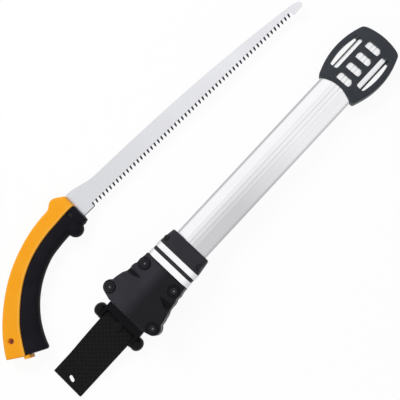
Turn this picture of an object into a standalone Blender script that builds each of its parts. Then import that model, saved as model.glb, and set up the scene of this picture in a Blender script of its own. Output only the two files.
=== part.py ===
"""A fixed-blade pruning saw lying beside its rigid scabbard, which has a hinged webbing belt hanger.

Metres, +Z up. The scabbard's own frame starts at the middle of its mouth: +X runs down the tube,
+Z out of the front. It leans on the hanger lugs and the end cap, so that frame is pitched a little.
The saw's own frame starts at the front of its handle on the tooth line: +X to the tip, +Y to the spine.
"""
import bpy
import bmesh
from math import asin, atan, cos, degrees, exp, hypot, pi, radians, sin
from mathutils import Matrix, Vector

GAP = 0.0003                    # gap between touching pieces
ROUND_SIDES = 24                # sides of a bolt, a pin or a knob
SMALL_SIDES = 16                # sides of a thin bore or axle
REACH = 0.05                    # cutters run past what they cut by this
OVERLAP = 0.001                 # shapes joined into one piece share this
MERGE = 0.00001

# Saw blade
BLADE_THICKNESS = 0.0015
BLADE_LENGTH = 0.384            # handle to tip
BLADE_DEPTH = 0.0262            # tooth line to spine in the straight part
HEEL_RISE = 0.0085              # extra depth where the blade leaves the handle
HEEL_FADE = 0.022               # length over which that extra depth fades
SPINE_DROP = 0.0172             # how far the spine comes down towards the tip
SPINE_POWER = 2.66
TIP_RADIUS = 0.0043
TOOTH_PITCH = 0.006
TOOTH_DEPTH = 0.005
TOOTH_GULLET = 0.0006           # flat between two teeth
TOOTH_LEAN = 0.0013             # the points lean to the handle, for the pull stroke
HEEL_PLAIN = 0.0197             # toothless length at the handle
TIP_PLAIN = 0.0160              # and at the tip
TIP_TURN = 0.00075              # last tooth below the tooth line
TANG_WIDTH = 0.018
TANG_END_ANGLE = radians(34)

# Saw handle: both colours follow one seam, an arc; angles run from the crown of the arc to the butt
SEAM_RADIUS = 0.1655
SEAM_CROWN_X = -0.0257
SEAM_CROWN_Y = 0.0178           # above the tooth line
HANDLE_THICKNESS = 0.024
HANDLE_ROUND = 0.0042
BUTT_ANGLE = radians(64)
BUTT_LIP_ANGLE = radians(1.4)
BUTT_LIP_DEPTH = 0.0075
SPINE_WIDTH_FRONT = 0.0184
SPINE_WIDTH_WAIST = 0.0169
SPINE_WIDTH_BUTT = 0.0234
SPINE_CORNER = radians(0.7)     # the upper front corner is cut back by this
WAIST_ANGLE = radians(26)
GRIP_WIDTH_FRONT = 0.0214
GRIP_WIDTH_BUTT = 0.0300
GRIP_SWELL_ANGLE = radians(17)
HUMP_ANGLE = radians(-2.9)
HUMP_HEIGHT = 0.0087
HUMP_BACK_ANGLE = radians(3.9)
HUMP_FRONT_ANGLE = radians(3.6)
HUMP_FRONT_REST = 0.0026
STOP_RADIUS = 0.0112            # finger stop under the front of the grip
STOP_ANGLE = radians(-2.8)
STOP_DROP = 0.0207              # seam to the middle of the stop
NOSE_RADIUS = 0.0046            # lower front corner of the grip
NOSE_DROP = 0.0213
PALM_START_ANGLE = radians(3)
PALM_END_INSET = radians(1.5)
GRIP_CORNER_RADIUS = 0.004
WEB_WALL = 0.00345              # orange web inside the black grip, each side of the tang
WEB_DEPTH = 0.0135
WEB_ROOT = 0.006
WEB_END_INSET = radians(1.5)
LANYARD_HOLE_RADIUS = 0.0035
LANYARD_HOLE_ANGLE = radians(56.9)
LANYARD_HOLE_RISE = 0.0125      # from the seam
BLADE_BOLT_ANGLE = radians(-5.3)
BLADE_BOLT_RADIUS = 0.0023
BLADE_BOLT_HEAD_RADIUS = 0.0036
BLADE_BOLT_HEAD = 0.0022
BLADE_BOLT_SINK = 0.0014        # head below the face of the grip
NUT_ACROSS = 0.0080
NUT_THICKNESS = 0.0035
TANG_RIVET_RADIUS = 0.002
TANG_RIVET_ANGLE = radians(27)
TANG_RIVET_DROP = 0.004

# Scabbard tube, a flat six-sided extrusion with round edges
THROAT_SIDE_GAP = 0.0020        # blade to the throat of the mouth, each side
TUBE_SIDE_ROOM = 0.00445        # throat to the outer edge of the tube
TUBE_HALF_HEIGHT = 0.0080
TUBE_FOLD = 0.0078              # half the width of the flat middle face
TUBE_FALL = 0.0030              # the faces beside it fall by this
TUBE_EDGE = 0.0035
TUBE_WALL = 0.0015
TUBE_GROOVE_AT = 0.0027
TUBE_GROOVE_WIDTH = 0.0009
TUBE_GROOVE_DEPTH = 0.0004
TUBE_BEHIND_BOLTS = 0.0025      # end of the tube to the rear mouth bolts
TIP_ROOM = 0.0680               # sheathed tip to the end of the tube

# Scabbard mouth
CASE_WALL = 0.00365             # outside the rollers
CASE_ROUND = 0.0035
CASE_LENGTH = 0.0746
CASE_END_STEP = 0.0010          # case to the bands
CASE_WAIST_AT = 0.0440
CASE_WAIST_STEP = 0.0011        # beyond the rear bosses
LIP_WALL = 0.00985              # throat to the side of the lip
BOSS_FRONT_AT = 0.0129
BOSS_FRONT_WALL = 0.01445       # throat to the bolt
BOSS_REAR_INSET = 0.0121        # from the end of the case
BOSS_REAR_WALL = 0.00265
BOSS_OUTER = 0.0098             # the case is rounded about the bolts by this
BOSS_RING = 0.0086
BOSS_RISE = 0.0009
PAD_START = 0.0070
PAD_LENGTH = 0.0560
PAD_HALF_WIDTH = 0.0160
PAD_CORNER = 0.0050
PAD_RISE = 0.0007
SCALLOP_WIDTH = 0.0110
SCALLOP_REACH = 0.0200
SCALLOP_DEPTH = 0.0016
THROAT_HALF_HEIGHT = 0.0050
FLARE_LENGTH = 0.0060
FLARE_RISE = 0.0030
BOLT_RADIUS = 0.0025
BOLT_HEAD_RADIUS = 0.0043
BOLT_HEAD = 0.0045
BOLT_PROUD = 0.0008
HEAD_CHAMFER = 0.0004
SOCKET_ACROSS = 0.0040
SOCKET_DEPTH = 0.0022
SOCKET_FLOOR = 0.0009           # metal left under the socket, at least
ROLLER_RADIUS = 0.0045
ROLLER_LENGTH = 0.0340
ROLLER_AT = 0.0230
ROLLER_NIP = 0.0003             # roller to blade
ROLLER_BORE_GAP = 0.0004
AXLE_RADIUS = 0.0014
AXLE_SEAT = 0.0035              # length of axle held in each wall

# Scabbard tail: spigot, two bands, ridge and collar
SPIGOT_SIDE_WALL = 0.0064
SPIGOT_FLAT_WALL = 0.0034
SPIGOT_CORNER = 0.0080
SPIGOT_ROOT = 0.0020
BAND_THICKNESS = 0.0020
BAND_LENGTH = 0.0085
RIDGE_LENGTH = 0.0040
RIDGE_STEP = 0.0006             # ridge below the bands
COLLAR_STEP = 0.0004
COLLAR_LENGTH = 0.0205
COLLAR_TAPER = 0.0030
COLLAR_ROUND = 0.0022
COLLAR_SCREW_OFFSET = 0.0068    # from the front face of the collar
COLLAR_SCREW_SIDE = 0.0030      # from the tube's edge to the screw
COLLAR_SCREW_RADIUS = 0.0015
COLLAR_SCREW_HEAD_RADIUS = 0.0034
COLLAR_SCREW_HEAD = 0.0024
COLLAR_SCREW_SINK = 0.0012
COLLAR_SCREW_LENGTH = 0.0160

# End cap, a cage round the far end of the tube
CAP_WALL = 0.0055               # above and below the tube
CAP_WING = 0.0133               # beside the tube where the cap is widest
CAP_FRONT_WING = 0.0020
CAP_FLOOR = 0.0135              # past the end of the tube
CAP_LENGTH = 0.0835
CAP_WIDEST_FROM_END = 0.0455
CAP_ROUND = 0.0030
CAP_SIDE_RADIUS = 0.0960
CAP_FRONT_SAG = 0.0060          # the front edge is hollowed by this
CAP_END_BULGE = 0.0040
CAP_END_ROUND = 0.0060
CAP_RIM = 0.0074
SLOT_PITCH = 0.0173
SLOT_FROM_FRONT = 0.0110
SLOT_FROM_END = 0.0180          # last slot's middle to the end, at least
SLOT_WIDTH = 0.0098
SLOT_LENGTH = 0.0218
SLOT_ROUND = 0.0034
SIDE_WINDOW_FROM_FRONT = 0.0145
SIDE_WINDOW_LENGTH = 0.0490
SIDE_WINDOW_RAIL = 0.0049       # slots to side windows
SIDE_WINDOW_ROUND = 0.0030

# Belt hanger
BAR_AHEAD = 0.0180              # bar to the lip of the mouth
BAR_RADIUS = 0.0047
BAR_IN_KNOB = 0.0075
LUG_WALL = 0.0046
LUG_THICKNESS = 0.0042
LUG_FOOT = 0.0025               # the lugs run this far under the case
KNOB_RADIUS = 0.0090
KNOB_FLOOR = 0.0031
KNOB_NECK = 0.0033              # straight part of the knob
STRAP_HALF_WIDTH = 0.0234
STRAP_THICKNESS = 0.0022
STRAP_REACH = 0.0972            # bar axis to the end of the strap
STRAP_SEAM = 0.0660             # bar axis to the seam that closes the belt loop
STRAP_LIFT = 0.0158             # bar axis to where the lower layer leaves the ground
STRAP_FALL = 0.6                # how early the upper layer falls
STRAP_SLOT_FROM_END = 0.0125
STRAP_SLOT_LENGTH = 0.0098
STRAP_SLOT_WIDTH = 0.0052
STRAP_SLOT_LEAN = radians(-12)
BUTTON_RADIUS = 0.0064
BUTTON_HEIGHT = 0.0022
BUTTON_EDGE = 0.35              # share of that height at the rim
BUTTON_SHANK_RADIUS = 0.0018
BUTTON_SHANK_DEPTH = 0.0030     # into the bar
HANDLE_CLEARANCE = 0.0006       # sheathed handle to the button
STRAP_TO_NECK = 0.0009          # wrapped strap to the edge of the neck plate
NECK_THICKNESS = 0.0040
NECK_LENGTH = 0.0350            # overlap of the neck plate under the case

# Layout of the two items on the surface
SAW_AT = (0.0507, 0.1271)
SAW_TURN = radians(-3.5)


# ---- sizes that follow from those above ----
# Saw
TOOTH_COUNT = int((BLADE_LENGTH - HEEL_PLAIN - TIP_PLAIN) / TOOTH_PITCH)
TOOTH_BASE = TOOTH_PITCH - TOOTH_GULLET
SEAM_CENTRE = (SEAM_CROWN_X, SEAM_CROWN_Y - SEAM_RADIUS)
HANDLE_HALF = HANDLE_THICKNESS / 2
GRIP_ROUND = min(HANDLE_ROUND, NOSE_RADIUS - GAP)
WEB_HALF = BLADE_THICKNESS / 2 + WEB_WALL
TANG_SLOT_HALF = BLADE_THICKNESS / 2 + GAP
NUT_CORNER = NUT_ACROSS / 3 ** 0.5

# Inside of the scabbard
THROAT_HALF_WIDTH = (BLADE_DEPTH + HEEL_RISE) / 2 + THROAT_SIDE_GAP
ROLLER_OFFSET = BLADE_THICKNESS / 2 + ROLLER_NIP + ROLLER_RADIUS
ROLLER_REACH = ROLLER_OFFSET + ROLLER_RADIUS + GAP
AXLE_HALF = ROLLER_LENGTH / 2 + 2 * GAP + AXLE_SEAT
TUBE_HALF_WIDTH = THROAT_HALF_WIDTH + TUBE_SIDE_ROOM
TUBE_SHOULDER = TUBE_HALF_HEIGHT - TUBE_FALL
TUBE_END = BLADE_LENGTH + TIP_ROOM

# Mouth, bands and collar
CASE_HALF_HEIGHT = ROLLER_REACH + CASE_WALL
SPIGOT_HALF_WIDTH = TUBE_HALF_WIDTH + SPIGOT_SIDE_WALL
SPIGOT_HALF_HEIGHT = TUBE_HALF_HEIGHT + SPIGOT_FLAT_WALL
BAND_HALF_WIDTH = SPIGOT_HALF_WIDTH + BAND_THICKNESS
BAND_HALF_HEIGHT = SPIGOT_HALF_HEIGHT + BAND_THICKNESS
BAND_CORNER = SPIGOT_CORNER + BAND_THICKNESS
CASE_END_HALF_WIDTH = BAND_HALF_WIDTH + CASE_END_STEP
BOSS_FRONT = (BOSS_FRONT_AT, THROAT_HALF_WIDTH + BOSS_FRONT_WALL + BOLT_RADIUS)
BOSS_REAR = (CASE_LENGTH - BOSS_REAR_INSET, THROAT_HALF_WIDTH + BOSS_REAR_WALL + BOLT_RADIUS)
BOSS_TOP = CASE_HALF_HEIGHT + BOSS_RISE
BOLTS = [BOSS_FRONT, (BOSS_FRONT[0], -BOSS_FRONT[1]), BOSS_REAR, (BOSS_REAR[0], -BOSS_REAR[1])]
CASE_WAIST = (CASE_WAIST_AT, BOSS_REAR[1] + BOSS_OUTER + CASE_WAIST_STEP)
LIP_HALF_WIDTH = THROAT_HALF_WIDTH + LIP_WALL
TUBE_START = BOSS_REAR[0] + BOLT_RADIUS + TUBE_BEHIND_BOLTS
BAND_1_AT = CASE_LENGTH + GAP
RIDGE_AT = BAND_1_AT + BAND_LENGTH + GAP
BAND_2_AT = RIDGE_AT + RIDGE_LENGTH + GAP
COLLAR_AT = BAND_2_AT + BAND_LENGTH + GAP
COLLAR_SCREW_Y = TUBE_HALF_WIDTH + COLLAR_SCREW_SIDE
COLLAR_SCREW_TOP = BAND_HALF_HEIGHT - COLLAR_SCREW_SINK

# End cap
CAP_HALF_HEIGHT = TUBE_HALF_HEIGHT + CAP_WALL
CAP_HALF_WIDTH = TUBE_HALF_WIDTH + CAP_WING
CAP_FRONT_HALF_WIDTH = TUBE_HALF_WIDTH + CAP_FRONT_WING
CAP_END_AT = TUBE_END + CAP_FLOOR
CAP_FRONT_AT = CAP_END_AT - CAP_LENGTH
CAP_WIDEST_AT = CAP_END_AT - CAP_WIDEST_FROM_END
SLOT_COUNT = int((CAP_LENGTH - SLOT_FROM_FRONT - SLOT_FROM_END) / SLOT_PITCH) + 1
SLOT_FIRST_AT = CAP_FRONT_AT + SLOT_FROM_FRONT
SIDE_WINDOW_START = CAP_FRONT_AT + SIDE_WINDOW_FROM_FRONT
SIDE_WINDOW_END = SIDE_WINDOW_START + SIDE_WINDOW_LENGTH
SIDE_WINDOW_INNER = SLOT_LENGTH / 2 + SIDE_WINDOW_RAIL

# Hanger: the strap passes under the sheathed handle
BAR_AT = -BAR_AHEAD
STRAP_OUTER = BAR_RADIUS + GAP + STRAP_THICKNESS
BAR_DROP = HANDLE_HALF + HANDLE_CLEARANCE + BUTTON_HEIGHT + GAP + STRAP_OUTER
BUTTON_SWEEP = hypot(BUTTON_RADIUS, STRAP_OUTER + GAP + BUTTON_HEIGHT * BUTTON_EDGE)
LUG_RADIUS = BAR_RADIUS + LUG_WALL
LUG_INNER = STRAP_HALF_WIDTH + 2 * GAP
LUG_OUTER = LUG_INNER + LUG_THICKNESS
BAR_END = LUG_OUTER + GAP + BAR_IN_KNOB
NECK_UNDER = -CASE_HALF_HEIGHT - NECK_THICKNESS
_beside_neck = max(STRAP_OUTER ** 2 - (BAR_DROP + NECK_UNDER) ** 2, 0.0) ** 0.5
NECK_END = BAR_AT + _beside_neck + STRAP_TO_NECK

# The scabbard stands on its lugs or knobs and on the far edge of the cap's back face.
REST_RADIUS = max(LUG_RADIUS, KNOB_RADIUS)
REST_X = CAP_END_AT - CAP_ROUND
_lean_run = REST_X - BAR_AT
_lean_rise = BAR_DROP - CAP_HALF_HEIGHT
PITCH = atan(_lean_rise / _lean_run) + asin(REST_RADIUS / hypot(_lean_run, _lean_rise))
MOUTH_HEIGHT = REST_X * sin(PITCH) + CAP_HALF_HEIGHT * cos(PITCH)
BAR_WORLD_X = BAR_AT * cos(PITCH) - BAR_DROP * sin(PITCH)


# ---- outlines ----
def arc(centre, radius, start, end, steps):
    """Points on an arc; angles in degrees from +X."""
    points = []
    for i in range(steps + 1):
        angle = radians(start + (end - start) * i / steps)
        points.append((centre[0] + radius * cos(angle), centre[1] + radius * sin(angle)))
    return points


def mirrored(half):
    """Closes a half outline, given from y > 0, by its mirror image below the X axis."""
    return half + [(x, -y) for x, y in reversed(half)]


def rounded_box(half_x, half_y, radius, steps=4):
    """Outline of a rectangle about the origin with round corners."""
    points = []
    for sx, sy, start in ((1, 1, 0), (-1, 1, 90), (-1, -1, 180), (1, -1, 270)):
        points += arc((sx * (half_x - radius), sy * (half_y - radius)), radius, start, start + 90, steps)
    return points


def moved(points, dx, dy):
    return [(x + dx, y + dy) for x, y in points]


def handle_point(angle, radius):
    """A point of the handle from its angle past the crown of the seam and its distance from the centre."""
    return (SEAM_CENTRE[0] - radius * sin(angle), SEAM_CENTRE[1] + radius * cos(angle))


def blade_bolt_at():
    """The blade bolt's nut sits just inside the seam."""
    return handle_point(BLADE_BOLT_ANGLE, SEAM_RADIUS - NUT_CORNER - 2 * GAP)


def tang_rivet_at():
    return handle_point(TANG_RIVET_ANGLE, SEAM_RADIUS - TANG_RIVET_DROP)


def handle_arc(start, end, radius, steps):
    """A line along the handle; radius is a function of the angle."""
    angles = [start + (end - start) * i / steps for i in range(steps + 1)]
    return [handle_point(a, radius(a)) for a in angles]


def ease(t):
    """0 to 1 with level ends."""
    return 0.5 - 0.5 * cos(pi * min(max(t, 0.0), 1.0))


def front_angle(radius):
    """The angle at which a circle about the seam centre meets the front face of the handle."""
    return -asin(-SEAM_CENTRE[0] / radius)


def spine_radius(angle):
    """Outer edge of the orange part: a waist, a wide butt and the thumb hump."""
    front = (WAIST_ANGLE - angle) / WAIST_ANGLE
    back = (angle - WAIST_ANGLE) / (BUTT_ANGLE - WAIST_ANGLE)
    width = SPINE_WIDTH_WAIST
    width += (SPINE_WIDTH_FRONT - SPINE_WIDTH_WAIST) * ease(front)
    width += (SPINE_WIDTH_BUTT - SPINE_WIDTH_WAIST) * ease(back)
    ahead = HUMP_ANGLE - angle
    if ahead < 0:
        width += HUMP_HEIGHT * ease(1 + ahead / HUMP_BACK_ANGLE)
    else:
        width += HUMP_FRONT_REST + (HUMP_HEIGHT - HUMP_FRONT_REST) * ease(1 - ahead / HUMP_FRONT_ANGLE)
    return SEAM_RADIUS + width


def grip_radius(angle):
    """Inner edge of the black grip, which swells evenly towards the butt."""
    along = max(angle - GRIP_SWELL_ANGLE, 0.0) / (BUTT_ANGLE - GRIP_SWELL_ANGLE)
    return SEAM_RADIUS - GRIP_WIDTH_FRONT - (GRIP_WIDTH_BUTT - GRIP_WIDTH_FRONT) * along


def spine_outline():
    low = SEAM_RADIUS + GAP / 2
    end = BUTT_ANGLE + BUTT_LIP_ANGLE
    seam = handle_arc(front_angle(low), end, lambda a: low, 20)
    front_top = front_angle(SEAM_RADIUS + SPINE_WIDTH_FRONT)
    hump_end = HUMP_ANGLE + HUMP_BACK_ANGLE
    back = handle_arc(BUTT_ANGLE - BUTT_LIP_ANGLE / 2, hump_end, spine_radius, 16)
    hump = handle_arc(hump_end, front_top + SPINE_CORNER, spine_radius, 10)
    return seam + back + hump[1:]


def butt_lip_outline():
    """The lip of the orange part that covers the end of the grip."""
    start = BUTT_ANGLE + GAP / SEAM_RADIUS
    end = BUTT_ANGLE + BUTT_LIP_ANGLE
    low = SEAM_RADIUS - BUTT_LIP_DEPTH
    high = SEAM_RADIUS + HANDLE_ROUND
    return [handle_point(start, high), handle_point(end, high), handle_point(end, low), handle_point(start, low)]


def grip_outline():
    high = SEAM_RADIUS - GAP / 2
    seam = handle_arc(BUTT_ANGLE, front_angle(high), lambda a: high, 22)
    nose = arc((-NOSE_RADIUS, SEAM_CROWN_Y - NOSE_DROP), NOSE_RADIUS, 0, -125, 7)
    stop = arc(handle_point(STOP_ANGLE, SEAM_RADIUS - STOP_DROP), STOP_RADIUS, -25, -168, 12)
    palm = handle_arc(PALM_START_ANGLE, BUTT_ANGLE - PALM_END_INSET, grip_radius, 18)
    heel = handle_point(BUTT_ANGLE, grip_radius(BUTT_ANGLE) + GRIP_CORNER_RADIUS)
    return seam + nose + stop + palm + [heel]


def web_outline(grow, overlap):
    """The web under the grip; overlap carries it up into the orange part."""
    low = SEAM_RADIUS - WEB_DEPTH - grow
    high = SEAM_RADIUS + overlap
    start = front_angle(SEAM_RADIUS) + WEB_END_INSET - grow / SEAM_RADIUS
    end = BUTT_ANGLE - WEB_END_INSET + grow / SEAM_RADIUS
    return handle_arc(start, end, lambda a: high, 20) + handle_arc(end, start, lambda a: low, 20)


def tang_outline(grow, front):
    """Tang of the blade, about the seam; front is where it leaves the handle."""
    half = TANG_WIDTH / 2 + grow
    end = TANG_END_ANGLE
    upper = SEAM_RADIUS + half
    lower = SEAM_RADIUS - half
    start = front_angle(SEAM_RADIUS)
    points = [(front, handle_point(start, upper)[1])]
    points += handle_arc(start, end, lambda a: upper, 10)
    tip = handle_point(end, SEAM_RADIUS)
    turn = 90 + degrees(end)
    points += arc(tip, half, turn, turn + 180, 6)[1:-1]
    points += handle_arc(end, start, lambda a: lower, 10)
    return points + [(front, handle_point(start, lower)[1])]


def spine_height(x):
    """Height of the blade's back above the tooth line."""
    return BLADE_DEPTH + HEEL_RISE * exp(-x / HEEL_FADE) - SPINE_DROP * (x / BLADE_LENGTH) ** SPINE_POWER


def blade_outline():
    teeth = [(GAP, 0.0), (HEEL_PLAIN - TOOTH_LEAN, 0.0)]
    for i in range(TOOTH_COUNT):
        x = HEEL_PLAIN + i * TOOTH_PITCH
        if i > 0:
            teeth.append((x - TOOTH_BASE / 2, TOOTH_DEPTH))
            teeth.append((x - TOOTH_LEAN, 0.0))
        teeth.append((x + TOOTH_BASE / 2, TOOTH_DEPTH))
    last = HEEL_PLAIN + TOOTH_COUNT * TOOTH_PITCH
    teeth.append((last - TOOTH_LEAN, -TIP_TURN))
    nose = arc((BLADE_LENGTH - TIP_RADIUS, TIP_RADIUS), TIP_RADIUS, -90, 45, 6)
    run = BLADE_LENGTH - 2 * TIP_RADIUS
    back = [(run * (1 - i / 24) + GAP * i / 24, 0) for i in range(25)]
    back = [(x, spine_height(x)) for x, _ in back]
    tang = tang_outline(0.0, GAP)
    return teeth + nose + back + tang


def tube_outline(inset, grooves=False):
    """Outline of the tube in Y and Z, moved in by inset."""
    flat = TUBE_HALF_HEIGHT - inset
    shoulder = TUBE_SHOULDER - inset
    edge = TUBE_EDGE - inset
    centre = TUBE_HALF_WIDTH - TUBE_EDGE
    groove = []
    if grooves:
        side = TUBE_GROOVE_WIDTH / 2
        groove = [(TUBE_GROOVE_AT + side, flat), (TUBE_GROOVE_AT, flat - TUBE_GROOVE_DEPTH),
                  (TUBE_GROOVE_AT - side, flat)]
    edge_points = [(centre + edge * sin(radians(t)), shoulder * cos(radians(t))) for t in range(0, 91, 15)]
    quarter = list(reversed(edge_points)) + [(TUBE_FOLD, flat)] + groove
    upper = quarter + [(-y, z) for y, z in reversed(quarter)]
    return upper + [(y, -z) for y, z in reversed(upper[1:-1])]


def case_outline():
    half = [(0.0, LIP_HALF_WIDTH)]
    half += arc(BOSS_FRONT, BOSS_OUTER, 168, 70, 8)
    half += [CASE_WAIST]
    half += arc(BOSS_REAR, BOSS_OUTER, 104, 76, 2)
    half += [(CASE_LENGTH, CASE_END_HALF_WIDTH)]
    return mirrored(half)


def cap_side(x, inset):
    """Half width of the cap's bowed side."""
    reach = CAP_SIDE_RADIUS - inset
    return CAP_HALF_WIDTH - CAP_SIDE_RADIUS + (reach ** 2 - (x - CAP_WIDEST_AT) ** 2) ** 0.5


def cap_outline():
    front = [(CAP_FRONT_AT - CAP_FRONT_SAG * (i / 4) ** 2, CAP_FRONT_HALF_WIDTH * i / 4) for i in range(5)]
    side_start = CAP_FRONT_AT - CAP_FRONT_SAG + 2 * CAP_ROUND
    side_end = CAP_END_AT - CAP_END_BULGE - CAP_END_ROUND
    side = []
    for i in range(11):
        x = side_start + (side_end - side_start) * i / 10
        side.append((x, cap_side(x, 0.0)))
    corner = arc((side_end, side[-1][1] - CAP_END_ROUND), CAP_END_ROUND, 65, 10, 4)
    top = corner[-1][1]
    end = [(CAP_END_AT - CAP_END_BULGE * (1 - i / 4) ** 2, top * (1 - i / 4)) for i in range(1, 4)]
    half = front[1:] + side + corner + end
    return [front[0]] + half + [(CAP_END_AT, 0.0)] + [(x, -y) for x, y in reversed(half)]


def side_window(sign):
    """A D-shaped window beside the tube: straight inside, bowed outside."""
    inner = SIDE_WINDOW_INNER
    start = SIDE_WINDOW_START
    end = SIDE_WINDOW_END
    bow = []
    for i in range(9):
        x = end - SIDE_WINDOW_ROUND - (end - start - SIDE_WINDOW_ROUND) * i / 8
        bow.append((x, cap_side(x, CAP_RIM)))
    points = [(start + SIDE_WINDOW_ROUND, inner)]
    points += arc((end - SIDE_WINDOW_ROUND, inner + SIDE_WINDOW_ROUND), SIDE_WINDOW_ROUND, -90, 0, 3)
    points += bow
    return [(x, sign * y) for x, y in points]


def strap_outlines():
    """Outer and inner outlines of the folded strap, in X and Z about the bar axis."""
    floor = -REST_RADIUS
    t = STRAP_THICKNESS
    outer_top = []
    inner_top = []
    for i in range(1, 9):
        s = i / 8
        x = -STRAP_SEAM * s
        drop = (STRAP_OUTER - floor - 2 * t) * (s ** 2 * (1 + STRAP_FALL * (1 - s)))
        outer_top.append((x, STRAP_OUTER - drop))
        if i < 8:
            inner_top.append((x, STRAP_OUTER - drop - t))
    bend = arc((0, 0), STRAP_OUTER, -100, 90, 12)
    outer = [(-STRAP_REACH, floor), (-STRAP_LIFT, floor)] + bend
    outer += outer_top + [(-STRAP_REACH, floor + 2 * t)]
    inner_bend = arc((0, 0), BAR_RADIUS + GAP, 90, -100, 12)
    inner = list(reversed(inner_top)) + inner_bend
    inner += [(-STRAP_LIFT, floor + t), (-STRAP_SEAM, floor + t + GAP)]
    return outer, inner


# ---- scene helpers ----
def clear_scene():
    for obj in list(bpy.data.objects):
        bpy.data.objects.remove(obj, do_unlink=True)
    for block in (bpy.data.meshes, bpy.data.curves, bpy.data.materials):
        for item in list(block):
            block.remove(item)
    for group in list(bpy.data.collections):
        bpy.data.collections.remove(group)


def new_collection(name):
    group = bpy.data.collections.new(name)
    bpy.context.scene.collection.children.link(group)
    return group


def new_frame(name, location, rotation=(0, 0, 0), parent=None):
    frame = bpy.data.objects.new(name, None)
    PARTS.objects.link(frame)
    frame.location = location
    frame.rotation_euler = rotation
    frame.parent = parent
    return frame


def new_material(name, colour, metallic, roughness):
    material = bpy.data.materials.new(name)
    material.use_nodes = True
    shader = material.node_tree.nodes["Principled BSDF"]
    shader.inputs["Base Color"].default_value = (*colour, 1)
    shader.inputs["Metallic"].default_value = metallic
    shader.inputs["Roughness"].default_value = roughness
    material.diffuse_color = (*colour, 1)
    return material


TURNS = {"z": Matrix.Identity(4),
         "x": Matrix(((0, 0, 1, 0), (1, 0, 0, 0), (0, 1, 0, 0), (0, 0, 0, 1))),
         "y": Matrix(((1, 0, 0, 0), (0, 0, -1, 0), (0, 1, 0, 0), (0, 0, 0, 1)))}


def prism_mesh(loops, low, high, axis="z", rounding=0.0):
    """A mesh between low and high along an axis, with its outline in the other two."""
    curve = bpy.data.curves.new("outline", "CURVE")
    curve.dimensions = "2D"
    curve.fill_mode = "BOTH"
    curve.extrude = (high - low) / 2 - rounding
    curve.bevel_depth = rounding
    curve.bevel_resolution = 1
    curve.offset = -rounding
    for loop in loops:
        spline = curve.splines.new("POLY")
        spline.points.add(len(loop) - 1)
        spline.use_cyclic_u = True
        for point, (x, y) in zip(spline.points, loop):
            point.co = (x, y, 0, 1)
    holder = bpy.data.objects.new("outline", curve)
    bpy.context.scene.collection.objects.link(holder)
    graph = bpy.context.evaluated_depsgraph_get()
    mesh = bpy.data.meshes.new_from_object(holder.evaluated_get(graph))
    bpy.data.objects.remove(holder)
    bpy.data.curves.remove(curve)
    work = bmesh.new()
    work.from_mesh(mesh)
    bmesh.ops.remove_doubles(work, verts=work.verts, dist=MERGE)
    bmesh.ops.recalc_face_normals(work, faces=work.faces)
    work.to_mesh(mesh)
    work.free()
    middle = Matrix.Translation((0, 0, (low + high) / 2))
    mesh.transform(TURNS[axis] @ middle)
    return mesh


def cylinder_mesh(radius, low, high, axis="z", at=(0.0, 0.0), sides=ROUND_SIDES, top_radius=None, turn=0.0):
    """A cylinder or cone between low and high along an axis; at is its place in the other two."""
    mesh = bpy.data.meshes.new("round")
    work = bmesh.new()
    top = radius if top_radius is None else top_radius
    bmesh.ops.create_cone(work, cap_ends=True, segments=sides, radius1=radius, radius2=top, depth=high - low)
    place = Matrix.Translation((at[0], at[1], (low + high) / 2)) @ Matrix.Rotation(turn, 4, "Z")
    work.transform(TURNS[axis] @ place)
    work.to_mesh(mesh)
    work.free()
    return mesh


def box_mesh(low, high):
    mesh = bpy.data.meshes.new("box")
    work = bmesh.new()
    bmesh.ops.create_cube(work, size=1)
    size = [b - a for a, b in zip(low, high)]
    middle = [(a + b) / 2 for a, b in zip(low, high)]
    work.transform(Matrix.Translation(middle) @ Matrix.Diagonal((*size, 1)))
    work.to_mesh(mesh)
    work.free()
    return mesh


def joined(meshes):
    """One mesh that holds several separate solids."""
    result = bpy.data.meshes.new("joined")
    work = bmesh.new()
    for mesh in meshes:
        work.from_mesh(mesh)
        bpy.data.meshes.remove(mesh)
    work.to_mesh(result)
    work.free()
    return result


def add_part(name, mesh, material, parent, smooth=35):
    mesh.name = name
    part = bpy.data.objects.new(name, mesh)
    PARTS.objects.link(part)
    part.parent = parent
    mesh.materials.clear()
    mesh.materials.append(material)
    if smooth:
        mesh.shade_smooth()
        mesh.set_sharp_from_angle(angle=radians(smooth))
    return part


def add_tool(name, mesh, parent):
    tool = bpy.data.objects.new(name, mesh)
    TOOLS.objects.link(tool)
    tool.parent = parent
    tool.hide_render = True
    tool.display_type = "WIRE"
    return tool


def boolean(part, operation, mesh, name):
    """Cuts, joins or keeps the common part of a piece and a tool mesh in the same frame."""
    tool = add_tool(f"{part.name}_{name}", mesh, part.parent)
    modifier = part.modifiers.new(name, "BOOLEAN")
    modifier.operation = operation
    modifier.solver = "EXACT"
    modifier.object = tool


def turned_part(name, profile, material, parent, axis):
    """A turned piece: the profile is radius and height, from top to bottom on the outer side."""
    mesh = bpy.data.meshes.new(name)
    work = bmesh.new()
    points = [work.verts.new((radius, 0, height)) for radius, height in profile]
    for a, b in zip(points, points[1:]):
        work.edges.new((a, b))
    work.to_mesh(mesh)
    work.free()
    part = add_part(name, mesh, material, parent, smooth=0)
    screw = part.modifiers.new("turn", "SCREW")
    screw.axis = "Z"
    screw.steps = ROUND_SIDES
    screw.render_steps = ROUND_SIDES
    screw.use_merge_vertices = True
    screw.merge_threshold = MERGE
    part.matrix_basis = TURNS[axis]
    return part


# ---- saw ----
def build_blade(parent):
    half = BLADE_THICKNESS / 2
    blade = add_part("saw_blade", prism_mesh([blade_outline()], -half, half), STEEL, parent, smooth=0)
    holes = [cylinder_mesh(BLADE_BOLT_RADIUS + GAP, -REACH, REACH, at=blade_bolt_at()),
             cylinder_mesh(TANG_RIVET_RADIUS + GAP, -REACH, REACH, at=tang_rivet_at())]
    boolean(blade, "DIFFERENCE", joined(holes), "pin_holes")


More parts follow.
